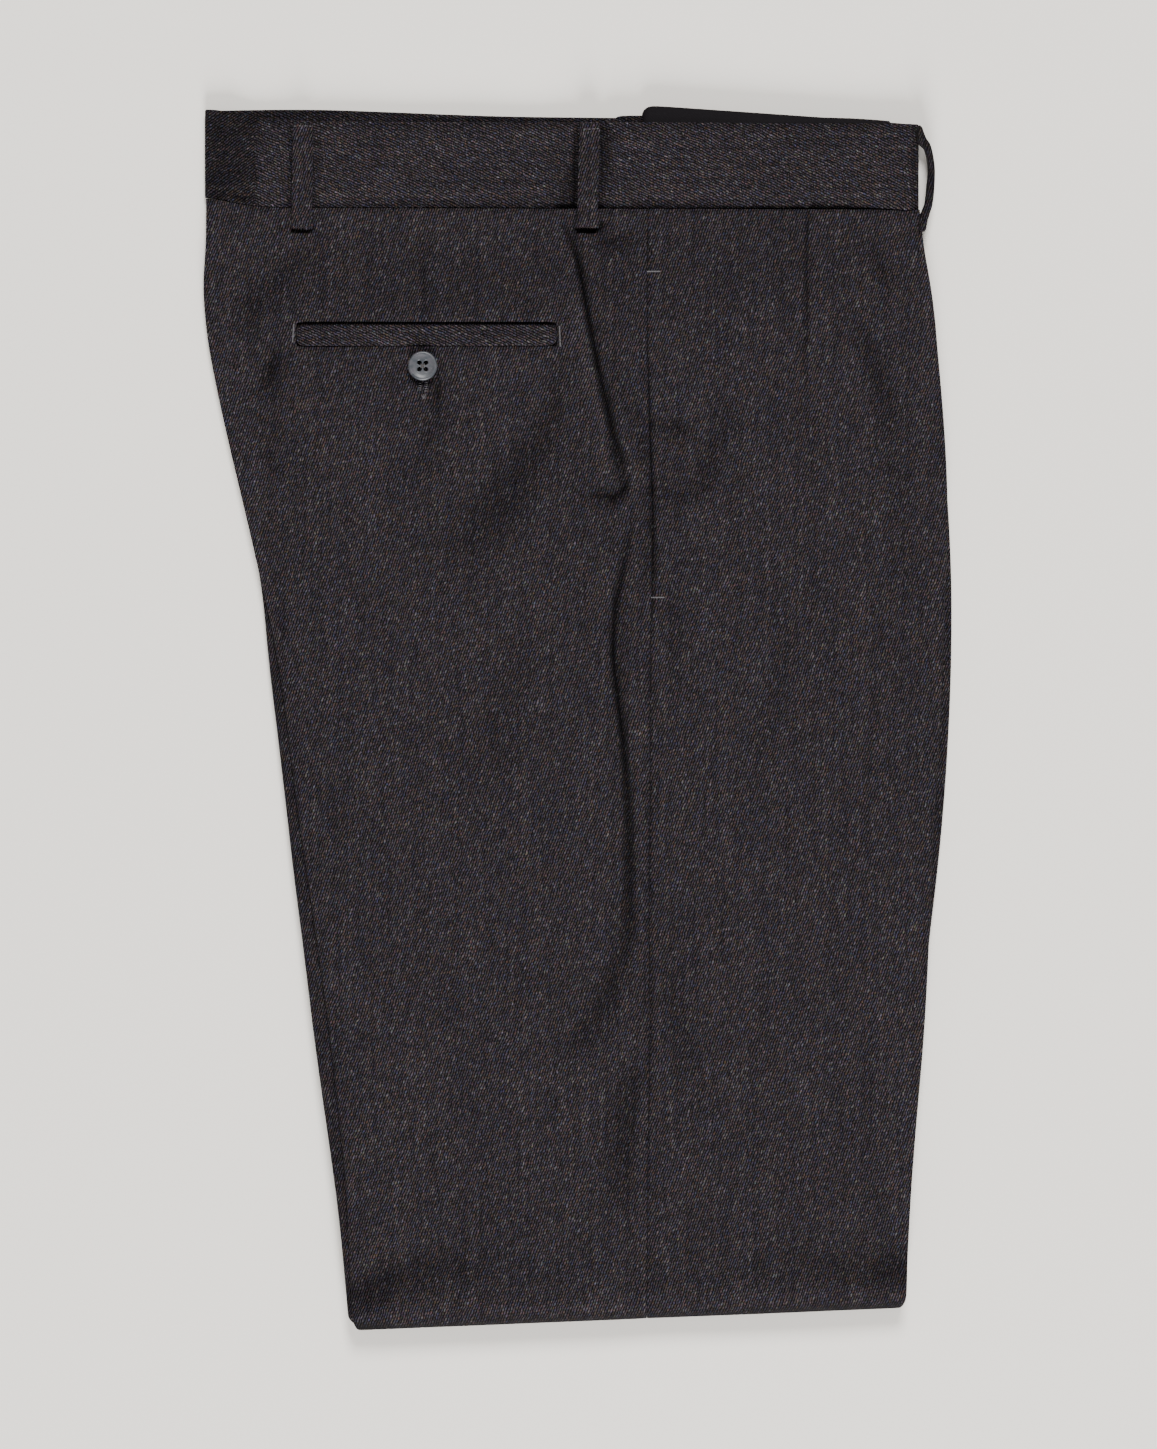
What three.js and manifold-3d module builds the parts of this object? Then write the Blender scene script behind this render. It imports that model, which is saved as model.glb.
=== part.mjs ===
// Pleated dress trousers, folded as on a shop table: the two legs lie on each other, crease on crease,
// and the lower legs are folded under at the knee. The wearer's right leg is on top.
//
// Millimetres. +X runs from the seat to the front creases, +Y from the knee fold up to the waistband,
// and +Z up from the surface that the trousers lie on.

import * as THREE from 'three';
import Module from 'manifold-3d';
import { mergeVertices } from 'three/addons/utils/BufferGeometryUtils.js';

// Cloth and gaps
const CLOTH = 1.2;
const BAND_CLOTH = 1.3;
const GAP = 0.3;
const LAYER_GAP = 0.42;

// A pressed crease: the radius of its outside, and how far the cloth runs back under the crease
const CREASE_RADIUS = 1.55;
const CREASE_TUCK = 9;
const TIER_STEP = 0.7;

// The waist seam, the fold across the knees and the hems, as heights on the line x = 0
const SEAM_Y = 259.7;
const SEAM_LIFT = 4.7;
const SEAM_LIFT_REACH = 18;
const SEAM_SLOPE = -0.003;
const FOLD_Y = -305.7;
const FOLD_SLOPE = 0.0407;
const FOLD_RADIUS = 9;
const HEM_Y = 188;

// The stack sinks from the lower legs to the table over this width, a little way outside them
const SINK_START = 8;
const SINK_WIDTH = 60;

// The waistband
const BAND_TOP_Y = 303.4;
const BAND_TOP_LIFT = 6;
const BAND_TOP_REACH = 26;
const BAND_BACK_X = -189.4;
const BAND_FRONT_X = 173.4;
const BAND_BACK_Z = 6.3;
const BAND_FRONT_Z = 8.5;
const BAND_SEAM_Z = 3.2;
const BAND_ROLL = 15;
const UNDER_BAND_FRONT_X = 159.4;
const UNDER_BAND_ROLL = 8;
const EXTENSION_TILT = 0.0695;
const EXTENSION_END_X = 32.5;
const UNDER_EXTENSION_END_X = 17;
const EXTENSION_CORNER = 6;
const LINING_CLOTH = 1.1;

// The back pocket
const POCKET = { left: -142.5, right: -10.5, bottom: 189.4, top: 199.7, slit: 1.7, corner: 2 };
const WELT_CLOTH = 1.5;
const WELT_PROUD = 0.35;
const WINDOW = {
  left: POCKET.left - GAP,
  right: POCKET.right + GAP,
  bottom: POCKET.bottom - GAP,
  top: POCKET.top + POCKET.slit,
};

// The button on the back pocket
const BUTTON = { x: -78.3, y: 179, diameter: 15, thickness: 2.6, holes: 4, hole: 1.7, spacing: 3.4 };

// Belt loops on the upper side: x of the middle, at the top and at the bottom end
const LOOP_WIDTH = 10.5;
const LOOP_CLOTH = 1.25;
const LOOP_TOP_Y = 302.6;
const LOOP_BOTTOM_Y = 249.4;
const LOOP_BULGE = 1.1;
const FLAT_LOOPS = [
  { name: 'belt_loop_back', topX: -139.4, bottomX: -139.8 },
  { name: 'belt_loop_side', topX: 6.3, bottomX: 4.9 },
];

// The front belt loop stands on edge at the front fold and bulges out: x beyond the fold at each height
const FRONT_LOOP = { width: 9, cloth: 2.6, lowZ: 2.2 };
const FRONT_LOOP_LINE = [
  { y: 300.8, out: 1.7 },
  { y: 294.8, out: 3.5 },
  { y: 288.7, out: 5.9 },
  { y: 280.0, out: 6.9 },
  { y: 272.3, out: 6.6 },
  { y: 264.7, out: 5.4 },
  { y: 258.1, out: 4.2 },
  { y: 250.4, out: 3.2 },
];

// The upper legs, from the waist seam to the knee fold. back and front are the edges of the upper leg,
// lowBack and lowFront those of the leg under it, seam is the side seam, stack the thickness of the two
// legs, and roll how softly the seat rolls over at its edge.
const UPPER = [
  { y: 262, back: -188.9, front: 173.7, lowBack: -188.5, lowFront: 160, seam: 36.0, stack: 6.2, roll: 14 },
  { y: 240, back: -189.0, front: 176.0, lowBack: -188.6, lowFront: 168, seam: 35.5, stack: 6.5, roll: 14 },
  { y: 222, back: -190.5, front: 179.3, lowBack: -190.1, lowFront: 174, seam: 35.2, stack: 6.7, roll: 13 },
  { y: 205, back: -189.4, front: 181.6, lowBack: -189.0, lowFront: 179, seam: 35.2, stack: 6.9, roll: 13 },
  { y: 190, back: -187.7, front: 182.8, lowBack: -187.3, lowFront: 182.2, seam: 35.6, stack: 7.0, roll: 12 },
  { y: 160, back: -181.7, front: 185.6, lowBack: -181.3, lowFront: 185.2, seam: 36.2, stack: 7.1, roll: 11 },
  { y: 130, back: -174.9, front: 187.6, lowBack: -174.5, lowFront: 187.2, seam: 37.3, stack: 7.2, roll: 9 },
  { y: 100, back: -167.6, front: 188.4, lowBack: -167.3, lowFront: 189.2, seam: 38.2, stack: 7.2, roll: 7 },
  { y: 65, back: -159.6, front: 186.9, lowBack: -160.2, lowFront: 190.5, seam: 38.0, stack: 7.2, roll: 5 },
  { y: 35, back: -152.7, front: 185.8, lowBack: -157.7, lowFront: 190.4, seam: 36.8, stack: 7.2, roll: 4 },
  { y: 0, back: -147.6, front: 184.4, lowBack: -153.4, lowFront: 189.2, seam: 36.8, stack: 7.2, roll: 4 },
  { y: -40, back: -142.7, front: 181.7, lowBack: -148.6, lowFront: 186.6, seam: 36.8, stack: 7.2, roll: 4 },
  { y: -80, back: -136.8, front: 179.7, lowBack: -144.0, lowFront: 182.7, seam: 36.2, stack: 7.3, roll: 4 },
  { y: -118, back: -131.2, front: 178.1, lowBack: -139.0, lowFront: 178.0, seam: 36.2, stack: 7.4, roll: 4 },
  { y: -160, back: -125.4, front: 175.7, lowBack: -133.9, lowFront: 175.1, seam: 36.8, stack: 7.6, roll: 4 },
  { y: -200, back: -120.9, front: 172.1, lowBack: -128.3, lowFront: 171.5, seam: 35.8, stack: 7.8, roll: 4 },
  { y: -240, back: -116.9, front: 168.9, lowBack: -122.6, lowFront: 168.2, seam: 35.4, stack: 8.1, roll: 4 },
  { y: -275, back: -115.5, front: 167.2, lowBack: -118.8, lowFront: 166.6, seam: 35.2, stack: 8.6, roll: 4 },
  { y: -304, back: -114.0, front: 166.4, lowBack: -116.5, lowFront: 165.9, seam: 35.2, stack: 9.0, roll: 4 },
];

// The lower legs, folded under, from the knee fold to the hems
const LOWER = [
  { y: 190, back: -108.4, front: 110.9, lowBack: -110.0, lowFront: 109.5, seam: 9, stack: 6.9 },
  { y: 100, back: -110.0, front: 123.0, lowBack: -112.0, lowFront: 121.5, seam: 14, stack: 7.0 },
  { y: -50, back: -112.5, front: 142.0, lowBack: -115.0, lowFront: 140.8, seam: 22, stack: 7.1 },
  { y: -200, back: -114.0, front: 156.6, lowBack: -116.5, lowFront: 155.8, seam: 30, stack: 7.7 },
  { y: -304, back: -114.0, front: 166.4, lowBack: -116.5, lowFront: 165.9, seam: 35.2, stack: 9.0 },
];

// The sharp fold behind the side seam: where its trough runs, and how deep it is
const TROUGH = [
  { y: 262, x: -6.4, depth: 1.2 },
  { y: 241, x: -0.6, depth: 1.9 },
  { y: 188, x: 11.5, depth: 2.0 },
  { y: 140, x: 19.1, depth: 1.7 },
  { y: 117, x: 24.2, depth: 1.0 },
  { y: 103, x: 25.4, depth: 0.2 },
  { y: 88, x: 25.2, depth: 0.5 },
  { y: 50, x: 21.7, depth: 1.7 },
  { y: 30, x: 20.6, depth: 1.9 },
  { y: -10, x: 23.6, depth: 1.9 },
  { y: -57, x: 26.0, depth: 1.8 },
  { y: -85, x: 26.4, depth: 1.2 },
  { y: -118, x: 25.6, depth: 0.4 },
  { y: -174, x: 26.4, depth: 0.5 },
  { y: -220, x: 24.0, depth: 0.5 },
  { y: -304, x: 25.0, depth: 0 },
];
const TROUGH_WIDTH = 2.0;
const TROUGH_RIDGE = { share: 0.45, offset: 5.5, width: 4 };

// The open front pleat: the line of its edge, and how far it stands over the cloth beside it
const PLEAT = [
  { y: 262, x: 117.6, height: 1.1 },
  { y: 214, x: 116.6, height: 0.9 },
  { y: 180, x: 116.2, height: 0.5 },
  { y: 147, x: 116.0, height: 0 },
  { y: -304, x: 110.0, height: 0 },
];
const PLEAT_EDGE = 0.7;
const PLEAT_REACH = 18;

// Soft creases: the two ends and a point between, the depth of the trough and its width
const CREASES = [
  { from: [-128.8, 244], via: [-149, 224], to: [-172, 198], depth: 0.8, width: 8 },
  { from: [-149, 190], via: [-168, 166], to: [-165, 128], depth: 0.8, width: 6 },
  { from: [-5, 188], via: [-18, 146], to: [-65, 81], depth: 1.1, width: 10 },
  { from: [-70, 166], via: [-74, 142], to: [-79, 118], depth: 0.6, width: 6 },
  { from: [2, 113], via: [13, 112], to: [26, 116], depth: 0.9, width: 5 },
  { from: [136, 240], via: [157, 190], to: [162, 112], depth: 0.9, width: 7 },
  { from: [40, 150], via: [58, 141], to: [73, 158], depth: 0.5, width: 5 },
  { from: [40, 122], via: [56, 118], to: [70, 124], depth: 0.5, width: 6 },
  { from: [22, -123], via: [10, -150], to: [-2, -170], depth: 0.8, width: 8 },
  { from: [30, -172], via: [26, -196], to: [20, -222], depth: 0.8, width: 7 },
  { from: [42, -123], via: [50, -140], to: [58, -160], depth: 0.6, width: 7 },
  { from: [-112, -292], via: [-98, -287], to: [-72, -279], depth: 1.0, width: 8 },
  { from: [168, -272], via: [150, -278], to: [120, -284], depth: 0.9, width: 8 },
];

// Interpolation

const clamp01 = (t) => Math.min(1, Math.max(0, t));
const mix = (a, b, t) => a + (b - a) * t;

function smooth(t) {
  const c = clamp01(t);
  return c * c * (3 - 2 * c);
}

// A column of a table at height y, on a smooth curve through the rows, whose y falls from row to row
function column(table, name, y) {
  const last = table.length - 1;
  if (y >= table[0].y) return table[0][name];
  if (y <= table[last].y) return table[last][name];
  const i = table.findIndex((row) => row.y <= y) - 1;
  const [a, b] = [table[i], table[i + 1]];
  const slope = (p, q) => (q[name] - p[name]) / (q.y - p.y);
  const here = slope(a, b);
  const before = i > 0 ? slope(table[i - 1], a) : here;
  const after = i + 2 <= last ? slope(b, table[i + 2]) : here;
  const tangent = (s) => (s * here <= 0 ? 0 : (s + here) / 2);
  const span = b.y - a.y;
  const t = (y - a.y) / span;
  const [ma, mb] = [tangent(before) * span, tangent(after) * span];
  const t2 = t * t;
  const t3 = t2 * t;
  return (
    (2 * t3 - 3 * t2 + 1) * a[name] + (t3 - 2 * t2 + t) * ma + (3 * t2 - 2 * t3) * b[name] + (t3 - t2) * mb
  );
}

// The relief of the upper side

// Distance from a point to the polyline of a crease, and how far along it the nearest point lies
function alongCrease(crease, x, y) {
  const points = [crease.from, crease.via, crease.to];
  const lengths = [0, 1].map((i) =>
    Math.hypot(points[i + 1][0] - points[i][0], points[i + 1][1] - points[i][1]),
  );
  const total = lengths[0] + lengths[1];
  let best = { distance: Infinity, along: 0 };
  let done = 0;
  for (let i = 0; i < 2; i++) {
    const [ax, ay] = points[i];
    const [dx, dy] = [points[i + 1][0] - ax, points[i + 1][1] - ay];
    const t = clamp01(((x - ax) * dx + (y - ay) * dy) / (dx * dx + dy * dy));
    const distance = Math.hypot(x - ax - t * dx, y - ay - t * dy);
    if (distance < best.distance) best = { distance, along: (done + t * lengths[i]) / total };
    done += lengths[i];
  }
  return best;
}

function creaseDepth(x, y) {
  let depth = 0;
  for (const crease of CREASES) {
    const { distance, along } = alongCrease(crease, x, y);
    const ends = 0.35 + 0.65 * Math.sin(Math.PI * along);
    depth += crease.depth * ends * Math.exp(-((distance / crease.width) ** 2));
  }
  return depth;
}

function troughDepth(x, y) {
  const depth = column(TROUGH, 'depth', y);
  const d = x - column(TROUGH, 'x', y);
  const ridge = TROUGH_RIDGE.share * Math.exp(-(((d - TROUGH_RIDGE.offset) / TROUGH_RIDGE.width) ** 2));
  return depth * (Math.exp(-((d / TROUGH_WIDTH) ** 2)) - ridge);
}

function pleatHeight(x, y) {
  const d = x - column(PLEAT, 'x', y);
  const rise = smooth(0.5 + d / PLEAT_EDGE / 2);
  return column(PLEAT, 'height', y) * rise * Math.exp(-Math.max(0, d) / PLEAT_REACH);
}

// The folded fronts, which lie between the layers, thicken the stack in front of the side seam
function frontThickness(x, y) {
  return 2.0 * smooth((x + 22) / 56) * smooth((y - 90) / 150);
}

// Where the legs lie

// Height of a cross line that passes x = 0 at height y: level at the waist, aslant at the knee fold
function crossLine(y, x) {
  const down = clamp01((SEAM_Y - y) / (SEAM_Y - FOLD_Y));
  const slope = mix(SEAM_SLOPE, FOLD_SLOPE, down ** 1.5);
  const lift =
    SEAM_LIFT *
    Math.exp(-(((x - BAND_BACK_X) / SEAM_LIFT_REACH) ** 2)) *
    Math.exp(-(((SEAM_Y - y) / 25) ** 2));
  return y + slope * x + lift;
}

const seamY = (x) => crossLine(SEAM_Y, x);
const foldAxisY = (x) => FOLD_Y + FOLD_RADIUS + FOLD_SLOPE * x;

// How high the upper stack lies: on the lower legs, and sinking to the table outside them
function lift(x, y) {
  const aside = Math.max(0, column(LOWER, 'lowBack', y) - x, x - column(LOWER, 'front', y));
  const beyond = Math.max(0, y - HEM_Y - FOLD_SLOPE * x);
  const outside = Math.hypot(aside, beyond);
  return mix(column(LOWER, 'stack', y), -GAP, smooth((outside - SINK_START) / SINK_WIDTH));
}

// A station is one cross line of the folded legs. edges(name) gives an edge or the side seam there,
// and place(x, r) the point at x, at the distance r from the middle of the folded stack.

function upperStation(y) {
  const edge = (name) => {
    let x = column(UPPER, name, y);
    for (let i = 0; i < 3; i++) x = column(UPPER, name, crossLine(y, x));
    return x;
  };
  const at = (x) => crossLine(y, x);
  return {
    y,
    edge,
    thickness: (x) => upperThickness(x, at(x), edge('back'), edge('front'), edge('seam')),
    place: (x, r) => new THREE.Vector3(x, at(x), lift(x, at(x)) + r),
    trough: column(TROUGH, 'x', y),
    pleat: column(PLEAT, 'x', y),
  };
}

function upperThickness(x, y, back, front, seam) {
  const stack = column(UPPER, 'stack', y) + frontThickness(x, y);
  const roll = column(UPPER, 'roll', y);
  const backDrop = mix(0.5, 1.2, smooth((y - 40) / 100));
  const round = (distance, width) => 1 - Math.sqrt(1 - (1 - clamp01(distance / width)) ** 2);
  const edges = backDrop * round(x - back, roll) + 0.6 * round(front - x, 5);
  const seamGroove = 0.3 * Math.exp(-(((x - seam) / 1.4) ** 2));
  return stack - edges - seamGroove - creaseDepth(x, y) - troughDepth(x, y) + pleatHeight(x, y);
}

function bendStation(angle) {
  const share = angle / Math.PI;
  const upper = upperStation(FOLD_Y + FOLD_RADIUS);
  const rounding = 2 * Math.sin(angle) ** 2;
  const inset = { back: rounding, lowBack: rounding, front: -rounding, lowFront: -rounding, seam: 0 };
  return {
    edge: (name) => upper.edge(name) + inset[name],
    thickness: (x) => mix(upper.thickness(x), FOLD_RADIUS, share),
    place: (x, r) =>
      new THREE.Vector3(x, foldAxisY(x) - r * Math.sin(angle), FOLD_RADIUS + r * Math.cos(angle)),
    trough: upper.trough,
    pleat: upper.pleat,
  };
}

function lowerStation(y) {
  const at = (x) => y + FOLD_SLOPE * x;
  const stack = column(LOWER, 'stack', y);
  return {
    edge: (name) => column(LOWER, name, y),
    thickness: () => stack,
    place: (x, r) => new THREE.Vector3(x, at(x), stack - r),
    trough: column(LOWER, 'seam', y) - 10,
    pleat: column(LOWER, 'seam', y) + 75,
  };
}

const ROWS_ABOVE_POCKET = 5;
const ROWS_BELOW_POCKET = 24;
const BEND_ROWS = 7;
const LOWER_ROWS = 6;

function legStations() {
  const bottom = FOLD_Y + FOLD_RADIUS;
  const heights = [SEAM_Y - GAP / 2];
  heights.push(...spread(heights[0], WINDOW.top, ROWS_ABOVE_POCKET - 1), WINDOW.top, WINDOW.bottom);
  heights.push(...spread(WINDOW.bottom, bottom, ROWS_BELOW_POCKET - 1));
  const stations = heights.map(upperStation);
  for (let i = 0; i <= BEND_ROWS; i++) stations.push(bendStation((Math.PI * i) / BEND_ROWS));
  for (let i = 1; i <= LOWER_ROWS; i++) stations.push(lowerStation(mix(bottom, HEM_Y, i / LOWER_ROWS)));
  return stations;
}

// Solids

function mesh(name, geometry, material) {
  const made = new THREE.Mesh(geometry, material);
  made.name = name;
  return made;
}

function closedGeometry(points, triangles) {
  let volume = 0;
  for (const [a, b, c] of triangles) {
    volume += points[a].dot(new THREE.Vector3().crossVectors(points[b], points[c]));
  }
  const facing = volume < 0 ? triangles.map(([a, b, c]) => [a, c, b]) : triangles;
  const geometry = new THREE.BufferGeometry().setFromPoints(points);
  geometry.setIndex(facing.flat());
  geometry.computeVertexNormals();
  return geometry;
}

// A wall of cloth between two grids of points of the same size. The cells of a window, { row, from, to },
// are left open from one column to another.
function clothWall(outer, inner, window = null) {
  const [rows, columns] = [outer.length, outer[0].length];
  const points = [...outer.flat(), ...inner.flat()];
  const out = (i, j) => i * columns + j;
  const inn = (i, j) => rows * columns + i * columns + j;
  const triangles = [];
  const quad = (a, b, c, d) => triangles.push([a, b, c], [a, c, d]);
  const rim = ([i, j], [k, l]) => quad(out(i, j), inn(i, j), inn(k, l), out(k, l));
  const open = (i, j) => window !== null && i === window.row && j >= window.from && j < window.to;
  for (let i = 0; i + 1 < rows; i++) {
    for (let j = 0; j + 1 < columns; j++) {
      if (open(i, j)) {
        rim([i, j], [i, j + 1]);
        rim([i + 1, j + 1], [i + 1, j]);
      } else {
        quad(out(i, j), out(i + 1, j), out(i + 1, j + 1), out(i, j + 1));
        quad(inn(i, j), inn(i, j + 1), inn(i + 1, j + 1), inn(i + 1, j));
      }
    }
    rim([i, 0], [i + 1, 0]);
    rim([i + 1, columns - 1], [i, columns - 1]);
  }
  for (let j = 0; j + 1 < columns; j++) {
    rim([0, j + 1], [0, j]);
    rim([rows - 1, j], [rows - 1, j + 1]);
  }
  if (window !== null) {
    rim([window.row + 1, window.from], [window.row, window.from]);
    rim([window.row, window.to], [window.row + 1, window.to]);
  }
  return closedGeometry(points, triangles);
}

// Triangles across a long flat ring, from its upper to its lower line, as the two run side by side
function capTriangles(ring) {
  const xs = ring.map(([x]) => x);
  const left = xs.indexOf(Math.min(...xs));
  const right = xs.indexOf(Math.max(...xs));
  const walk = (step, count) =>
    Array.from({ length: count + 1 }, (_, i) => (left + step * i + ring.length) % ring.length);
  const upper = walk(1, right - left);
  const lower = walk(-1, ring.length - (right - left));
  const triangles = [];
  let [i, j] = [0, 0];
  while (i < upper.length - 1 || j < lower.length - 1) {
    const goUp = j === lower.length - 1 || (i < upper.length - 1 && xs[upper[i + 1]] <= xs[lower[j + 1]]);
    const next = goUp ? upper[++i] : lower[++j];
    triangles.push(goUp ? [upper[i - 1], lower[j], next] : [upper[i], lower[j - 1], next]);
  }
  return triangles.filter(([a, b, c]) => a !== b && b !== c && a !== c);
}

// A solid skinned over rings of the same size, with its two ends closed
function skin(rings, flatRings) {
  const size = rings[0].length;
  const triangles = [];
  for (let i = 0; i + 1 < rings.length; i++) {
    for (let j = 0; j < size; j++) {
      const [a, b] = [i * size + j, i * size + ((j + 1) % size)];
      triangles.push([a, a + size, b + size], [a, b + size, b]);
    }
  }
  const last = (rings.length - 1) * size;
  for (const [a, b, c] of capTriangles(flatRings[0])) triangles.push([a, c, b]);
  for (const [a, b, c] of capTriangles(flatRings.at(-1))) triangles.push([last + a, last + b, last + c]);
  return closedGeometry(rings.flat(), triangles);
}

// The leg panels

function spread(from, to, count) {
  return Array.from({ length: count }, (_, i) => mix(from, to, (i + 1) / (count + 1)));
}

// Columns of the back panel between the seat crease and the side seam: through both ends of the
// pocket's window, and gathered along the trough
function backColumns(station) {
  const back = station.edge('back');
  const seam = station.edge('seam');
  const { trough } = station;
  const left = Math.max(WINDOW.left, back + 28);
  const right = Math.min(WINDOW.right, trough - 9);
  const toSeam = seam - trough;
  return [
    back + CREASE_RADIUS,
    back + 5.2,
    back + CREASE_TUCK + TIER_STEP,
    back + 17,
    (back + 17 + left) / 2,
    left,
    ...spread(left, right, 5),
    right,
    trough - 6,
    trough - 3,
    trough - 1.4,
    trough,
    trough + 1.6,
    trough + Math.min(3.6, toSeam * 0.4),
    trough + Math.min(7, toSeam * 0.7),
    seam - GAP / 2,
  ];
}

// Columns of the front panel between the side seam and the front crease, gathered along the pleat
function frontColumns(station) {
  const front = station.edge('front');
  const seam = station.edge('seam');
  const { pleat } = station;
  return [
    seam + GAP / 2,
    seam + 3,
    ...spread(seam + 3, pleat - 2.5, 3),
    pleat - 2.5,
    pleat - PLEAT_EDGE / 2,
    pleat + PLEAT_EDGE / 2,
    pleat + 4,
    ...spread(pleat + 4, front - CREASE_TUCK - TIER_STEP, 3),
    front - CREASE_TUCK - TIER_STEP,
    front - 5.2,
    front - CREASE_RADIUS,
  ];
}

// The cloth turns over its crease on an arc, and runs back under itself. side is -1 at the back.
function creaseLine(station, edgeX, side, inset) {
  const centreX = edgeX - side * CREASE_RADIUS;
  const centreR = station.thickness(centreX) - CREASE_RADIUS;
  const radius = CREASE_RADIUS - inset;
  const line = [];
  for (const angle of [45, 90, 135, 180]) {
    const a = THREE.MathUtils.degToRad(angle);
    line.push([centreX + side * radius * Math.sin(a), centreR + radius * Math.cos(a)]);
  }
  line.push([edgeX - side * CREASE_TUCK, centreR - radius]);
  return line;
}

// One cross line of a panel at a depth under its outside, in the direction of +x
function panelLine(station, isBack, inset) {
  const top = (x) => [x, station.thickness(x) - inset];
  if (isBack) {
    return [
      ...creaseLine(station, station.edge('back'), -1, inset).reverse(),
      ...backColumns(station).map(top),
    ];
  }
  return [...frontColumns(station).map(top), ...creaseLine(station, station.edge('front'), 1, inset)];
}

function legPanel(stations, isBack) {
  const grid = (inset) =>
    stations.map((station) => panelLine(station, isBack, inset).map(([x, r]) => station.place(x, r)));
  if (!isBack) return clothWall(grid(0), grid(CLOTH));
  const row = stations.findIndex(({ y }) => y === WINDOW.top);
  const columnOf = (x) => panelLine(stations[row], true, 0).findIndex((point) => point[0] === x);
  return clothWall(grid(0), grid(CLOTH), { row, from: columnOf(WINDOW.left), to: columnOf(WINDOW.right) });
}

// The layers that the upper leg hides, in one solid that follows the fold. Its edges are the creases
// of the leg below, and its top is the inner side of the upper leg.
function hiddenRing(station) {
  const half = (side) => {
    const near = station.edge(side < 0 ? 'back' : 'front');
    const far = station.edge(side < 0 ? 'lowBack' : 'lowFront');
    const shelf = station.thickness(near - side * CREASE_RADIUS) - 2 * CREASE_RADIUS - LAYER_GAP;
    const radius = (shelf - GAP) / 2;
    const ring = [0, 45, 90, 135, 180].map((angle) => {
      const a = THREE.MathUtils.degToRad(angle);
      return [far - side * radius * (1 - Math.sin(a)), GAP + radius * (1 - Math.cos(a))];
    });
    ring.push([near - side * (CREASE_TUCK + TIER_STEP / 2), shelf]);
    return ring;
  };
  const under = (x) => [x, station.thickness(x) - CLOTH - LAYER_GAP];
  const acrossBack = backColumns(station).slice(2).map(under);
  const acrossFront = frontColumns(station).slice(0, -2).map(under);
  const [back, front] = [half(-1), half(1)];
  const low = bottomColumns(station).map((x) => [x, GAP]);
  return [...back, ...acrossBack, ...acrossFront, ...front.reverse(), ...low];
}

// Columns of the underside of the hidden layers, from front to back: under the steps beside the tucked
// cloth, and where the layers sink beside the lower legs
function bottomColumns(station) {
  const { y } = station.place(0, 0);
  const { trough } = station;
  const backStep = station.edge('back') + CREASE_TUCK + TIER_STEP / 2;
  const frontStep = station.edge('front') - CREASE_TUCK - TIER_STEP / 2;
  const low = Math.max(column(LOWER, 'lowBack', y) - SINK_START, backStep + 4);
  const high = Math.min(column(LOWER, 'front', y) + SINK_START, frontStep - 4);
  const halfway = (a, b) => (a + b) / 2;
  return [
    frontStep,
    halfway(frontStep, high),
    high,
    halfway(high, trough),
    trough,
    halfway(trough, low),
    low,
    halfway(low, backStep),
    mix(backStep, low, 0.15),
    backStep,
  ];
}

function hiddenLayers(stations) {
  const flat = stations.map(hiddenRing);
  const rings = flat.map((ring, i) => ring.map(([x, r]) => stations[i].place(x, r)));
  return skin(rings, flat);
}

// Booleans

let solids;

function toSolid(geometry) {
  const bare = geometry.clone();
  bare.deleteAttribute('normal');
  bare.deleteAttribute('uv');
  const merged = mergeVertices(bare, 1e-4);
  return new solids.Manifold(
    new solids.Mesh({
      numProp: 3,
      vertProperties: merged.attributes.position.array,
      triVerts: new Uint32Array(merged.index.array),
    }),
  );
}

function toGeometry(solid) {
  const made = solid.getMesh();
  const geometry = new THREE.BufferGeometry();
  geometry.setAttribute('position', new THREE.BufferAttribute(made.vertProperties, 3));
  geometry.setIndex(new THREE.BufferAttribute(made.triVerts, 1));
  geometry.computeVertexNormals();
  return geometry;
}

// The back pocket: a welt that fills the panel's window but for a slit above it

// The outside of the upper leg at a point of the plan
function upperSurface(x, y) {
  const station = upperStation(y - (crossLine(y, x) - y));
  return station.place(x, station.thickness(x)).z;
}

function pocketWelt() {
  const grid = (inset) =>
    [0, 0.2, 0.8, 1].map((v) => {
      const y = mix(POCKET.bottom, POCKET.top, v);
      const pull = v === 0 || v === 1 ? POCKET.corner : 0;
      return Array.from({ length: 17 }, (_, i) => {
        const x = mix(POCKET.left + pull, POCKET.right - pull, i / 16);
        return new THREE.Vector3(x, y, upperSurface(x, y) + WELT_PROUD - inset);
      });
    });
  return clothWall(grid(0), grid(WELT_CLOTH));
}

// A four-hole button with a raised rim and a dished face
function pocketButton() {
  const radius = BUTTON.diameter / 2;
  const t = BUTTON.thickness;
  const profile = [
    [0, 0],
    [radius * 0.72, 0],
    [radius * 0.93, t * 0.3],
    [radius, t * 0.62],
    [radius * 0.96, t * 0.9],
    [radius * 0.86, t],
    [radius * 0.72, t * 0.86],
    [radius * 0.62, t * 0.74],
    [0, t * 0.7],
  ].map(([r, z]) => new THREE.Vector2(r, z));
  const body = new THREE.LatheGeometry(profile, 28);
  body.rotateX(Math.PI / 2);
  let solid = toSolid(body);
  for (let i = 0; i < BUTTON.holes; i++) {
    const angle = Math.PI / 4 + (i * 2 * Math.PI) / BUTTON.holes;
    const hole = new THREE.CylinderGeometry(BUTTON.hole / 2, BUTTON.hole / 2, 4 * t, 10);
    hole.rotateX(Math.PI / 2);
    const reach = BUTTON.spacing / 2 / Math.cos(Math.PI / 4);
    hole.translate(reach * Math.cos(angle), reach * Math.sin(angle), 0);
    solid = solid.subtract(toSolid(hole));
  }
  return toGeometry(solid);
}

// The waistband

const bandTopY = (x) =>
  BAND_TOP_Y - 0.004 * x + BAND_TOP_LIFT * Math.exp(-(((x - BAND_BACK_X) / BAND_TOP_REACH) ** 2));

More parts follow.
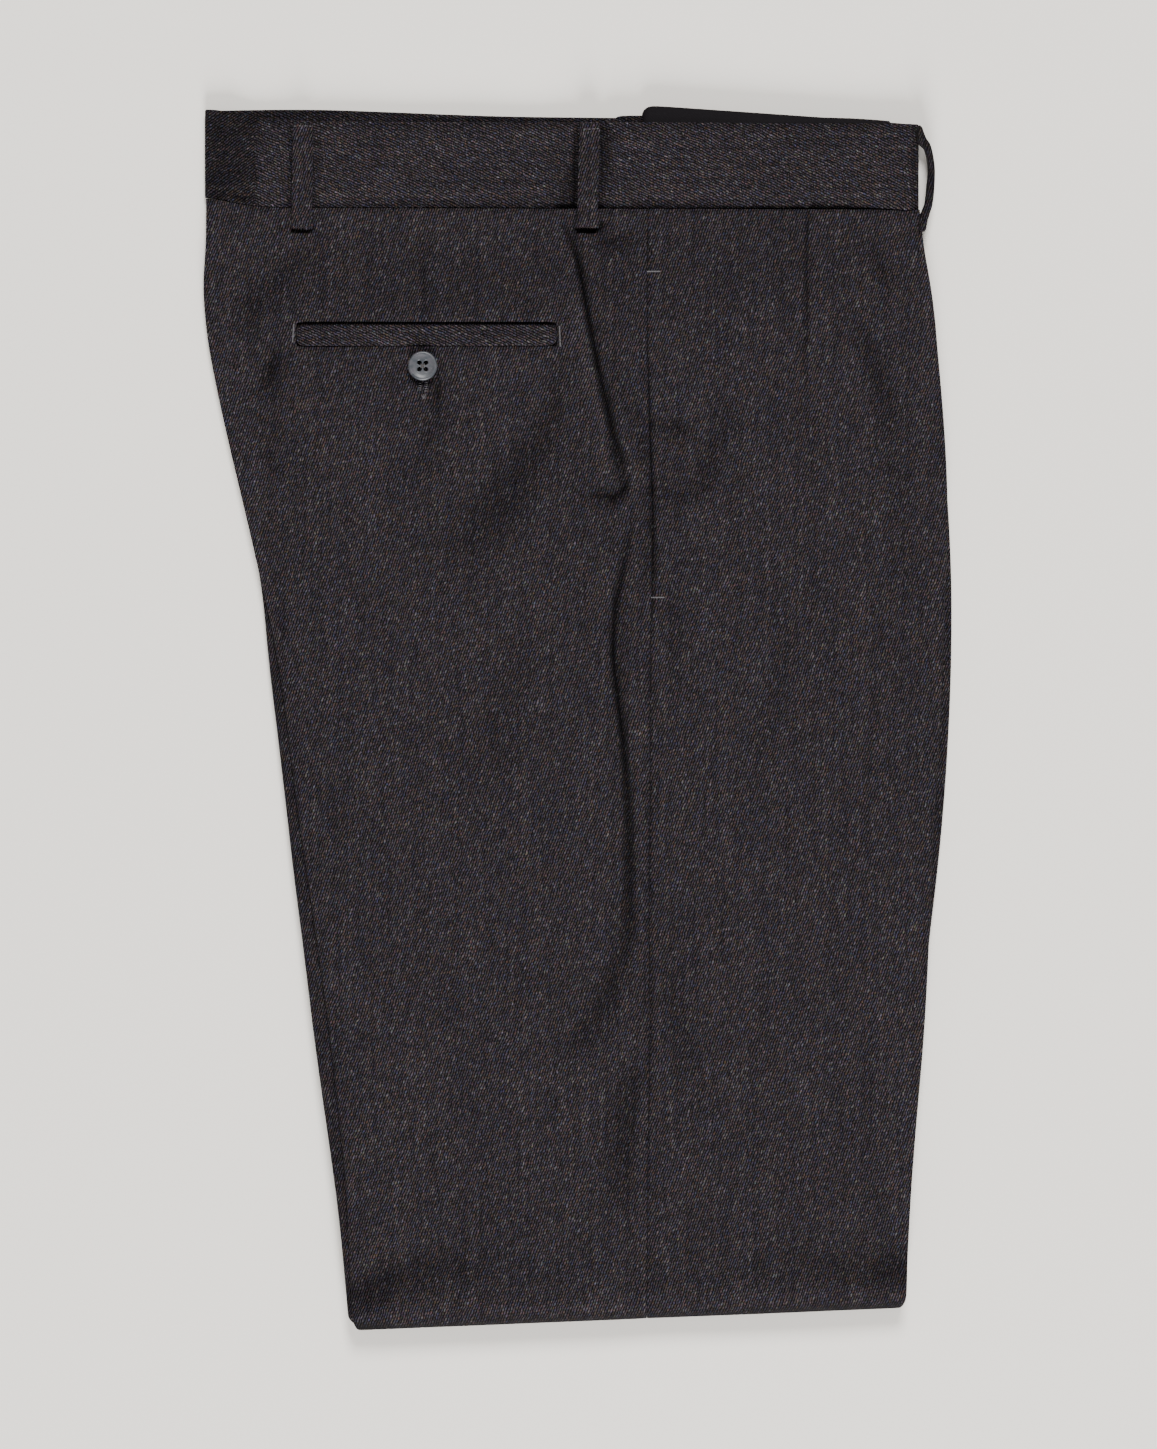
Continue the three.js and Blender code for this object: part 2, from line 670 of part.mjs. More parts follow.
const bandZ = (x) => mix(BAND_BACK_Z, BAND_FRONT_Z, smooth((x + 24) / 50));

// Columns of a band's flat part, gathered where its lower edge bends up at the seat and, on the upper
// band, where the folded front starts
function bandColumns(from, to) {
  const inner = [-168, -160, -150, -24, -12, 0, 12, 26, 40].filter((x) => x > from + 3);
  return [...inner.slice(0, 3), ...spread(-150, -24, 5), ...inner.slice(3), ...spread(40, to, 6)];
}

// Heights of the under band's top edge along it
const UNDER_BAND_TOP = [
  { y: 200, top: 304.4 },
  { y: 100, top: 305.0 },
  { y: 15, top: 306.4 },
  { y: -40, top: 307.1 },
  { y: -90, top: 309.0 },
  { y: -139, top: 310.6 },
  { y: -190, top: 309.9 },
];

// A strip of cloth set on edge lines: each stop has a point of the outside and the normal there, and
// the lower and upper end of the strip
function strip(stops, cloth, rows) {
  const grid = (inset) =>
    stops.map((stop) =>
      Array.from({ length: rows + 1 }, (_, j) =>
        new THREE.Vector3(
          stop.x - stop.nx * inset,
          mix(stop.low, stop.high, j / rows),
          stop.z - stop.nz * inset,
        ),
      ),
    );
  return clothWall(grid(0), grid(cloth));
}

// Half a turn round the front fold, from the outer band to the extension that lies under it
function frontTurn(x, z, radius, up) {
  return [0, 30, 60, 90, 120, 150, 180].map((angle) => {
    const a = THREE.MathUtils.degToRad(angle);
    return {
      x: x - radius + radius * Math.sin(a),
      z: z + up * radius * (Math.cos(a) - 1),
      nx: Math.sin(a),
      nz: up * Math.cos(a),
    };
  });
}

// The extension's end is cut square, with its upper corner rounded
function cornerDrop(x, endX) {
  const d = Math.max(0, EXTENSION_CORNER - (x - endX));
  return EXTENSION_CORNER - Math.sqrt(EXTENSION_CORNER ** 2 - d ** 2);
}

const CORNER_STEPS = [6, 3.4, 1.6, 0.5, 0];
const UPPER_EXTENSION_Z = 4.0;
const UNDER_EXTENSION_Z = 3.3;
const LINING_Z = 6.7;

const tiltedLow = (x) => SEAM_Y + 0.6 + (BAND_FRONT_X - x) * EXTENSION_TILT;
const tiltedHigh = (x) => BAND_TOP_Y - 0.9 + (BAND_FRONT_X - x) * EXTENSION_TILT;

function upperBand() {
  const roll = [0, 18, 36, 54, 72, 90].map((angle) => {
    const a = THREE.MathUtils.degToRad(angle);
    const rise = BAND_BACK_Z - BAND_SEAM_Z;
    const x = BAND_BACK_X + BAND_ROLL * (1 - Math.cos(a));
    const n = new THREE.Vector2(-rise * Math.cos(a), BAND_ROLL * Math.sin(a)).normalize();
    return { x, z: BAND_SEAM_Z + GAP + (rise - GAP) * Math.sin(a), nx: n.x, nz: n.y };
  });
  const flat = bandColumns(BAND_BACK_X + BAND_ROLL, BAND_FRONT_X - 5).map((x) => ({
    x,
    z: bandZ(x),
    nx: 0,
    nz: 1,
  }));
  const radius = (BAND_FRONT_Z - UPPER_EXTENSION_Z) / 2;
  const outer = [...roll, ...flat].map((stop) => ({
    ...stop,
    low: seamY(stop.x) + GAP,
    high: bandTopY(stop.x),
  }));
  const turn = frontTurn(BAND_FRONT_X, BAND_FRONT_Z, radius, 1).map((stop) => ({
    ...stop,
    low: seamY(stop.x) + GAP,
    high: bandTopY(stop.x) - 0.3,
  }));
  const ends = CORNER_STEPS.map((d) => EXTENSION_END_X + d);
  const inward = [150, 125, 100, 75, 55, ...ends].map((x) => ({
    x,
    z: UPPER_EXTENSION_Z,
    nx: 0,
    nz: -1,
    low: tiltedLow(x),
    high: tiltedHigh(x) - cornerDrop(x, EXTENSION_END_X),
  }));
  return strip([...outer, ...turn, ...inward], BAND_CLOTH, 2);
}

function underBand() {
  const turnRadius = UNDER_EXTENSION_Z / 2;
  const high = (x) => column(UNDER_BAND_TOP, 'top', x);
  const low = (x) => seamY(x) + 2 * GAP;
  const roll = [0, 22.5, 45, 67.5, 90].map((angle) => {
    const a = THREE.MathUtils.degToRad(angle);
    const drop = BAND_SEAM_Z - GAP / 2;
    const x = BAND_BACK_X + UNDER_BAND_ROLL * (1 - Math.cos(a));
    const n = new THREE.Vector2(-drop * Math.cos(a), -UNDER_BAND_ROLL * Math.sin(a)).normalize();
    return { x, z: drop * (1 - Math.sin(a)), nx: n.x, nz: n.y };
  });
  const flat = [-175, ...bandColumns(BAND_BACK_X + UNDER_BAND_ROLL, UNDER_BAND_FRONT_X - 5)].map((x) => ({
    x,
    z: 0,
    nx: 0,
    nz: -1,
  }));
  const turn = frontTurn(UNDER_BAND_FRONT_X, 0, turnRadius, -1);
  const ends = CORNER_STEPS.map((d) => UNDER_EXTENSION_END_X + d);
  const inward = [140, 110, 80, 50, ...ends].map((x) => ({ x, z: UNDER_EXTENSION_Z, nx: 0, nz: 1 }));
  const rise = (x) => 306.0 + (UNDER_BAND_FRONT_X - x) * 0.0105;
  const stops = [...roll, ...flat, ...turn].map((stop) => ({
    ...stop,
    low: low(stop.x),
    high: high(stop.x),
  }));
  const returned = inward.map((stop) => ({
    ...stop,
    low: low(stop.x),
    high: rise(stop.x) - cornerDrop(stop.x, UNDER_EXTENSION_END_X),
  }));
  return strip([...stops, ...returned], BAND_CLOTH, 1);
}

// The dark lining of the extension, which faces up and shows above the upper band
function extensionLining() {
  const ends = CORNER_STEPS.map((d) => EXTENSION_END_X + 0.3 + d);
  const stops = [166, 140, 110, 80, 55, ...ends].map((x) => ({
    x,
    z: LINING_Z,
    nx: 0,
    nz: 1,
    low: tiltedLow(x),
    high: tiltedHigh(x) - cornerDrop(x, EXTENSION_END_X + 0.3),
  }));
  return strip(stops, LINING_CLOTH, 1);
}

// Belt loops

// A flat loop: sewn down at the band's top edge, bulging over the band, and turned under at its foot
function flatLoop({ topX, bottomX }) {
  const middle = (y) => mix(bottomX, topX, (y - LOOP_BOTTOM_Y) / (LOOP_TOP_Y - LOOP_BOTTOM_Y));
  const ground = (x, y) => (y > seamY(x) ? bandZ(x) : Math.max(bandZ(x), upperSurface(x, y)));
  const foot = { y: LOOP_BOTTOM_Y + 1.4, radius: (LOOP_CLOTH * 2 + 0.2) / 2 };
  const heights = [0, 0.06, 0.16, 0.32, 0.5, 0.68, 0.84, 0.94].map((t) => {
    const y = mix(LOOP_TOP_Y, LOOP_BOTTOM_Y + 1.4, t);
    const bulge = LOOP_BULGE * Math.sin(Math.PI * smooth(t * 1.06));
    const rise = mix(LOOP_CLOTH + LAYER_GAP, 2 * foot.radius + LAYER_GAP, smooth((t - 0.4) / 0.5)) + bulge;
    return { y, rise, ny: 0, nz: 1 };
  });
  const last = heights.at(-1).rise;
  for (const angle of [0, 45, 90, 135, 180]) {
    const a = THREE.MathUtils.degToRad(angle);
    heights.push({
      y: foot.y - foot.radius * Math.sin(a),
      rise: last + foot.radius * (Math.cos(a) - 1),
      ny: -Math.sin(a),
      nz: Math.cos(a),
    });
  }
  heights.push({ y: foot.y + 5, rise: last - 2 * foot.radius, ny: 0, nz: -1 });
  const grid = (inset) =>
    heights.map(({ y, rise, ny, nz }) =>
      [-1, -0.8, 0.8, 1].map((side) => {
        const x = middle(y) + (side * LOOP_WIDTH) / 2;
        const rounding = Math.abs(side) === 1 ? 0.3 : 0;
        const z = ground(x, y) + rise;
        const sunk = inset === 0 ? rounding : 0;
        return new THREE.Vector3(x, y - ny * (inset + sunk), z - nz * (inset + sunk));
      }),
    );
  return clothWall(grid(0), grid(LOOP_CLOTH));
}

// The front loop follows a curve in the plan, and its width stands up
function frontLoop() {
  const line = new THREE.CatmullRomCurve3(
    FRONT_LOOP_LINE.map(({ y, out }) => new THREE.Vector3(BAND_FRONT_X + out, y, 0)),
    false,
    'centripetal',
  );
  const steps = 22;
  const grid = (side) =>
    Array.from({ length: steps + 1 }, (_, i) => {
      const point = line.getPoint(i / steps);
      const along = line.getTangent(i / steps);
      return [0, 0.12, 0.88, 1].map((v) => {
        const rounding = v === 0 || v === 1 ? 0.7 : 1;
        const out = (side * rounding * FRONT_LOOP.cloth) / 2;
        return new THREE.Vector3(
          point.x - along.y * out,
          point.y + along.x * out,
          FRONT_LOOP.lowZ + v * FRONT_LOOP.width,
        );
      });
    });
  return clothWall(grid(1), grid(-1));
}

// Assembly

solids = await Module();
solids.setup();

const suiting = new THREE.MeshStandardMaterial({ color: 0x332f32, roughness: 0.9, metalness: 0 });
const lining = new THREE.MeshStandardMaterial({ color: 0x1c191d, roughness: 0.7, metalness: 0 });
const horn = new THREE.MeshStandardMaterial({ color: 0x4a4c55, roughness: 0.35, metalness: 0 });

const stations = legStations();
const trousers = new THREE.Group();

trousers.add(mesh('back_panel', legPanel(stations, true), suiting));
trousers.add(mesh('front_panel', legPanel(stations, false), suiting));
trousers.add(mesh('folded_layers', hiddenLayers(stations), suiting));
trousers.add(mesh('waistband', upperBand(), suiting));
trousers.add(mesh('under_waistband', underBand(), suiting));
trousers.add(mesh('extension_lining', extensionLining(), lining));
trousers.add(mesh('pocket_welt', pocketWelt(), suiting));

const button = mesh('pocket_button', pocketButton(), horn);
button.position.set(BUTTON.x, BUTTON.y, upperSurface(BUTTON.x, BUTTON.y) + LAYER_GAP);
trousers.add(button);

for (const loop of FLAT_LOOPS) trousers.add(mesh(loop.name, flatLoop(loop), suiting));
trousers.add(mesh('belt_loop_front', frontLoop(), suiting));

// The origin is in the middle of the bounding box
const middle = new THREE.Box3().setFromObject(trousers).getCenter(new THREE.Vector3());
trousers.position.set(-middle.x, -middle.y, 0);

export default trousers;
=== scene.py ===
"""Pleated dress trousers, lying flat and folded across at the knee: cloth, trims and studio.

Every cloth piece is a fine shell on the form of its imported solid. Lengths in the script are metres.
"""

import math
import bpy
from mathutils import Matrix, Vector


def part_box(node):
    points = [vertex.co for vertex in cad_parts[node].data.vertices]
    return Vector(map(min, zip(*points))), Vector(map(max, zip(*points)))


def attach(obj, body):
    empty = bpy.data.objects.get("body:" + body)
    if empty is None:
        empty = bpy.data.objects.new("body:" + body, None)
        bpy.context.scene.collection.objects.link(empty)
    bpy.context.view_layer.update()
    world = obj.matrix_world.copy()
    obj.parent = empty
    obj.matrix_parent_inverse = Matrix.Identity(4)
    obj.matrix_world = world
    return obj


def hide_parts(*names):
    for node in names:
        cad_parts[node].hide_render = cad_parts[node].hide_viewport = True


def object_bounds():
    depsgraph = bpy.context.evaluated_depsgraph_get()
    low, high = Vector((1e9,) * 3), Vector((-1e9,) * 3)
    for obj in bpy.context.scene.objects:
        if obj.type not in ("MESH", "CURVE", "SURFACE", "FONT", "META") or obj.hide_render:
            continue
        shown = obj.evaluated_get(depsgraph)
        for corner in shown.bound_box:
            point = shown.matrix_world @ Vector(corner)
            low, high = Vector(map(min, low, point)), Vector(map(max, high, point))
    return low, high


bl_info = {
    "name": "Pleated trousers, folded flat",
    "version": (1, 0, 0),
    "blender": (4, 5, 0),
    "location": "View3D > Sidebar > Trousers",
    "description": "Wool trousers with pleats, belt loops and a buttoned back pocket",
    "category": "Object",
}

import bmesh
import bpy
import numpy as np
from bpy.props import FloatProperty, FloatVectorProperty, IntProperty, PointerProperty
from mathutils import Matrix, Vector
from mathutils.bvhtree import BVHTree

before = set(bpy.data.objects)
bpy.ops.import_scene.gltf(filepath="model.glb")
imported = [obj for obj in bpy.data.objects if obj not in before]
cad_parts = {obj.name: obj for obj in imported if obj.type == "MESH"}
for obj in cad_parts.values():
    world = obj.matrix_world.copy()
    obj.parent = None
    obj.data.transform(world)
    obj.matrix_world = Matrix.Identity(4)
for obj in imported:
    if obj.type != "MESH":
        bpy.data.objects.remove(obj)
CAD_LOW, CAD_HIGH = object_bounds()

MM = 0.001

# The fold across the knees slopes a little over the leg. Its corner at the back is the part's lowest y,
# and the bend's axis lies halfway up, at BEND_Y where x is zero
FOLD_SLOPE = 0.0407
FOLD_CORNER_X = -0.114
BEND_RADIUS = 9.0 * MM
BEND_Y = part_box("folded_layers")[0].y + BEND_RADIUS - FOLD_SLOPE * FOLD_CORNER_X
# The lower legs lie under the upper ones: their highest point, their hem, and their reach across
LOWER_LEG_TOP = 3.3 * MM
LOWER_LEG_HEM_Y = 0.190
LOWER_LEG_X = (-0.118, 0.168)

# Directions of the twill lines, from the line across the leg
LEG_TWILL = math.radians(70)
BAND_TWILL = math.radians(-25)
BAND_END_TWILL = math.radians(35)

# Places on the upper side, taken from the pieces that mark them
BUTTON_LOW, BUTTON_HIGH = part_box("pocket_button")
BUTTON_CENTRE = (BUTTON_LOW + BUTTON_HIGH) / 2
BAND_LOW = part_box("waistband")[0]

# The side seam from the waist down, in millimetres: y, x, and how far the pocket mouth gapes there
SIDE_SEAM = [
    (261, 36.1, 0.0),
    (226, 35.3, 0.05),
    (205, 35.3, 0.2),
    (150, 36.6, 0.35),
    (110, 37.9, 0.7),
    (75, 38.1, 0.7),
    (63, 38.0, 0.3),
    (58, 38.0, 0.0),
    (34, 36.9, 0.0),
    (-41, 36.9, 0.0),
    (-81, 36.3, 0.0),
    (-119, 36.3, 0.0),
    (-161, 36.9, 0.0),
    (-201, 35.9, 0.0),
    (-305, 35.3, 0.0),
]
# The gap between the panels' solids there, how far from the seam cloth is drawn to it, and the height
# above which the cloth is the upper side's, in millimetres
SEAM_GAP = 0.3
SEAM_PULL = 0.8
UPPER_SIDE_Z = 9

# Folds of the cloth, in millimetres: x, y, depth and half width of the trough at each point.
# A negative depth is a ridge. The depth also paints shade into the cloth's colour in the troughs, and
# painted light on the ridges.
FOLDS = {
    "side fold, from the side loop down": [
        (-7.5, 262.0, 0.8, 2.0),
        (-5.8, 251.6, 2.0, 1.7),
        (-2.9, 242.4, 2.8, 1.5),
        (0.4, 231.2, 3.3, 1.4),
        (3.9, 211.9, 3.4, 1.45),
        (7.7, 191.6, 3.5, 1.5),
        (11.3, 173.8, 3.5, 1.6),
        (14.9, 158.6, 3.3, 1.7),
        (18.5, 142.3, 2.9, 2.0),
        (21.2, 131.0, 2.3, 2.4),
        (22.7, 120.5, 1.0, 2.6),
        (22.0, 112.0, 0.0, 3.0),
    ],
    "foot of the side fold": [
        (24.5, 127.0, 0.0, 2.5),
        (24.2, 118.0, 1.6, 2.6),
        (19.0, 112.2, 2.5, 2.9),
        (11.0, 112.5, 2.1, 3.4),
        (2.0, 115.5, 0.0, 4.5),
    ],
    "beside the side fold": [
        (10.5, 205.0, 0.0, 2.5),
        (15.5, 189.0, 0.5, 2.6),
        (20.6, 173.8, 0.8, 2.8),
        (26.7, 158.6, 1.0, 3.0),
        (31.8, 143.3, 0.9, 3.0),
        (35.0, 128.0, 0.0, 3.0),
    ],
    "bank of the side fold": [
        (-7.5, 240.0, 0.0, 4.0),
        (-1.0, 215.0, -0.6, 4.5),
        (6.0, 180.0, -0.8, 5.0),
        (13.0, 145.0, -0.6, 5.0),
        (17.0, 125.0, 0.0, 5.0),
    ],
    "lower side fold": [
        (27.5, 108.0, 0.0, 1.6),
        (26.0, 98.0, 0.6, 1.6),
        (24.2, 87.5, 1.3, 1.5),
        (22.2, 74.7, 2.0, 1.5),
        (19.6, 59.5, 2.8, 1.5),
        (18.1, 39.2, 3.2, 1.5),
        (18.6, 26.5, 3.3, 1.5),
        (20.6, 8.7, 3.2, 1.5),
        (22.7, -9.1, 3.0, 1.6),
        (24.2, -26.9, 2.8, 1.6),
        (25.2, -42.1, 2.6, 1.7),
        (25.7, -62.4, 2.5, 2.1),
        (25.7, -85.3, 2.1, 2.6),
        (25.2, -103.0, 1.5, 3.6),
        (24.0, -116.0, 0.4, 4.0),
        (22.0, -124.0, 0.0, 4.0),
    ],
    "end of the lower side fold": [
        (25.5, -92.0, 0.0, 4.0),
        (24.0, -110.0, 0.8, 5.0),
        (20.6, -124.0, 1.4, 5.5),
        (11.5, -143.7, 1.5, 6.0),
        (3.9, -158.0, 1.2, 6.0),
        (-6.5, -176.0, 0.0, 7.0),
    ],
    "calf, behind the seam": [
        (26.0, -166.0, 0.0, 5.0),
        (24.6, -190.0, 1.3, 5.5),
        (22.2, -214.9, 1.4, 6.0),
        (21.7, -240.0, 0.8, 7.0),
        (21.5, -255.0, 0.0, 7.0),
    ],
    "calf, in front of the seam": [
        (46.0, -100.0, 0.0, 5.0),
        (48.1, -133.6, 0.8, 6.0),
        (52.1, -159.0, 0.8, 6.0),
        (56.2, -199.6, 0.0, 7.0),
    ],
    "seat, across to the fold": [
        (-126.0, 245.5, 0.0, 6.0),
        (-143.5, 234.8, 1.9, 6.5),
        (-157.2, 222.1, 2.2, 7.0),
        (-167.4, 209.4, 1.9, 7.0),
        (-176.0, 192.0, 0.0, 7.0),
    ],
    "seat, under the pocket": [
        (-150.5, 192.0, 0.0, 3.0),
        (-153.4, 183.5, 2.0, 3.6),
        (-157.2, 173.3, 2.1, 4.4),
        (-165.0, 160.0, 0.0, 5.0),
    ],
    "seat, lower": [
        (-159.2, 163.0, 0.0, 4.0),
        (-155.7, 145.9, 0.6, 4.5),
        (-157.7, 126.0, 0.0, 5.0),
    ],
    "hip, below the pocket's end": [
        (-7.3, 188.0, 0.0, 3.5),
        (-9.5, 168.7, 1.2, 4.0),
        (-13.4, 153.5, 1.5, 6.0),
        (-20.0, 138.3, 1.5, 9.0),
        (-34.2, 118.0, 1.4, 12.0),
        (-50.5, 98.0, 1.2, 13.0),
        (-62.0, 84.0, 0.6, 13.0),
        (-72.0, 70.0, 0.0, 13.0),
    ],
    "under the button": [
        (-67.0, 183.0, 0.0, 3.0),
        (-70.0, 172.0, 1.9, 2.6),
        (-71.8, 159.0, 2.0, 3.0),
        (-75.0, 142.0, 1.2, 3.6),
        (-79.0, 122.0, 0.0, 5.0),
    ],
    "dent around the button": [
        (-70.4, 178.0, 0.5, 1.3),
        (-73.0, 183.4, 0.6, 1.3),
        (-78.4, 186.0, 0.7, 1.3),
        (-83.8, 183.4, 0.8, 1.3),
        (-86.4, 178.0, 0.8, 1.3),
        (-83.8, 172.6, 0.7, 1.3),
        (-78.4, 170.0, 0.6, 1.3),
        (-73.0, 172.6, 0.5, 1.3),
        (-70.4, 178.0, 0.5, 1.3),
    ],
    "under the side loop": [
        (6.0, 240.0, 0.0, 3.0),
        (15.0, 241.5, 1.4, 3.6),
        (24.0, 243.5, 1.1, 3.6),
        (36.0, 247.5, 0.0, 3.6),
    ],
    "seam of the waistband": [
        (-190.0, 266.6, 1.4, 0.9),
        (-174.0, 263.9, 1.8, 0.9),
        (-161.0, 262.0, 1.8, 0.9),
        (-148.0, 260.9, 1.6, 0.8),
        (-113.0, 260.4, 1.3, 0.8),
        (-64.0, 259.6, 1.4, 0.8),
        (-3.0, 259.6, 2.0, 0.9),
        (49.0, 259.4, 1.5, 0.8),
        (98.0, 258.9, 1.5, 0.8),
        (147.0, 258.5, 1.4, 0.8),
        (172.0, 257.8, 1.0, 0.8),
    ],
    "end of the side loop": [
        (-3.0, 252.0, 1.6, 1.1),
        (-1.8, 248.2, 2.8, 1.1),
        (4.0, 247.3, 3.6, 1.2),
        (10.6, 247.8, 3.4, 1.1),
        (12.2, 252.0, 1.8, 1.1),
    ],
    "end of the back loop": [
        (-146.2, 256.0, 1.4, 1.0),
        (-145.4, 248.6, 2.4, 1.0),
        (-140.0, 247.6, 3.2, 1.1),
        (-134.6, 248.2, 2.6, 1.0),
        (-133.6, 256.0, 1.4, 1.0),
    ],
    "front, at the waist": [
        (139.0, 250.0, 0.0, 4.0),
        (151.2, 233.3, 1.0, 4.0),
        (163.0, 218.0, 0.0, 5.0),
    ],
    "front, down the thigh": [
        (134.0, 214.0, 0.0, 4.0),
        (144.6, 191.6, 1.2, 4.4),
        (151.7, 175.3, 1.3, 4.6),
        (157.3, 158.6, 1.1, 5.0),
        (159.3, 135.7, 0.7, 5.0),
        (160.4, 95.0, 0.0, 6.0),
    ],
    "pocket bag, upper": [
        (38.5, 149.2, 1.2, 2.4),
        (48.1, 148.4, 2.1, 3.0),
        (58.0, 144.0, 0.9, 4.0),
        (64.0, 141.0, 0.0, 3.4),
    ],
    "pocket bag, lower": [
        (38.5, 117.0, 0.8, 3.0),
        (53.2, 113.9, 1.6, 3.6),
        (61.3, 117.4, 1.6, 4.2),
        (66.4, 130.6, 1.5, 4.6),
        (70.4, 145.9, 1.2, 5.0),
        (74.0, 166.0, 0.0, 5.0),
    ],
    "edge of the pleat": [
        (116.4, 259.0, 0.7, 1.0),
        (115.6, 232.0, 0.9, 1.0),
        (115.2, 201.8, 0.8, 1.1),
        (115.1, 171.3, 0.4, 1.4),
        (116.2, 138.0, 0.0, 2.0),
    ],
    "dart": [
        (-78.9, 258.5, 1.5, 1.0),
        (-78.6, 232.3, 1.4, 1.0),
        (-78.2, 208.0, 1.1, 1.0),
        (-78.0, 201.5, 0.0, 1.2),
    ],
    "edge of the knee fold": [
        (-122.0, -311.0, 2.7, 3.2),
        (-60.0, -310.0, 2.6, 3.2),
        (0.0, -307.6, 2.6, 3.2),
        (60.0, -305.0, 2.6, 3.2),
        (120.0, -302.4, 2.6, 3.2),
        (176.0, -300.0, 2.7, 3.2),
    ],
    "knee, back corner": [
        (-116.5, -296.0, 1.1, 9.0),
        (-104.3, -287.5, 1.8, 8.5),
        (-92.7, -281.4, 1.6, 8.5),
        (-77.4, -276.8, 1.2, 9.0),
        (-57.1, -274.0, 0.5, 9.0),
        (-40.0, -274.0, 0.0, 9.0),
    ],
    "knee, front corner": [
        (168.0, -276.0, 1.4, 10.0),
        (153.8, -278.0, 1.2, 10.0),
        (138.5, -276.4, 0.8, 10.0),
        (118.2, -274.3, 0.4, 10.0),
        (95.3, -272.8, 0.0, 10.0),
    ],
    "roll over the knee fold": [
        (-112.0, -299.0, -0.1, 5.5),
        (-39.3, -296.2, -0.2, 5.5),
        (31.8, -293.4, -0.2, 5.5),
        (102.9, -290.5, -0.2, 5.5),
        (168.0, -288.0, -0.2, 5.5),
    ],
    "above the knee fold": [
        (-100.3, -276.8, 0.1, 12.0),
        (-39.3, -277.8, 0.2, 12.0),
        (31.8, -276.8, 0.2, 12.0),
        (102.9, -273.8, 0.2, 12.0),
        (165.0, -270.8, 0.2, 12.0),
    ],
    "side seam, upper": [
        (35.8, 258.0, 0.1, 1.4),
        (35.3, 228.0, 0.2, 1.3),
        (35.6, 190.0, 0.5, 1.1),
        (36.6, 150.0, 0.7, 1.2),
        (37.9, 110.0, 1.1, 1.5),
        (38.1, 75.0, 1.1, 1.5),
        (38.0, 60.0, 0.6, 1.2),
        (37.2, 40.0, 0.3, 1.1),
    ],
    "side seam, lower": [
        (37.0, 38.0, 0.35, 1.1),
        (36.9, -41.0, 0.5, 1.1),
        (36.3, -119.0, 0.5, 1.1),
        (36.9, -161.0, 0.35, 1.1),
        (35.9, -201.0, 0.2, 1.1),
        (35.5, -285.0, 0.2, 1.1),
    ],
    "behind the pocket mouth": [
        (32.6, 165.0, 0.0, 4.0),
        (33.8, 140.0, 0.5, 4.2),
        (34.6, 110.0, 0.8, 4.2),
        (34.6, 80.0, 0.8, 4.2),
        (34.0, 55.0, 0.0, 4.0),
    ],
    "thigh, in front of the tack": [
        (44.5, 70.0, 0.0, 4.0),
        (48.6, 46.8, 0.6, 5.0),
        (50.5, 28.0, 0.0, 5.0),
    ],
    "thigh, front": [
        (108.0, 62.0, 0.0, 6.0),
        (105.5, 40.0, 0.5, 7.0),
        (100.4, 10.0, 0.5, 7.0),
        (92.0, -22.0, 0.0, 8.0),
    ],
    "thigh, back": [
        (-24.0, 52.0, 0.0, 9.0),
        (-33.0, 22.0, 0.6, 10.0),
        (-44.0, -8.0, 0.6, 11.0),
        (-50.0, -46.0, 0.0, 12.0),
    ],
    "fan above the pocket, front": [
        (-38.0, 245.0, 0.0, 3.0),
        (-31.7, 224.6, 0.4, 4.0),
        (-24.1, 210.4, 0.4, 4.0),
        (-15.9, 199.5, 0.0, 4.0),
    ],
    "fan above the pocket, middle": [
        (-66.0, 235.0, 0.0, 3.0),
        (-59.6, 219.6, 0.4, 3.6),
        (-53.0, 206.0, 0.0, 4.0),
    ],
}
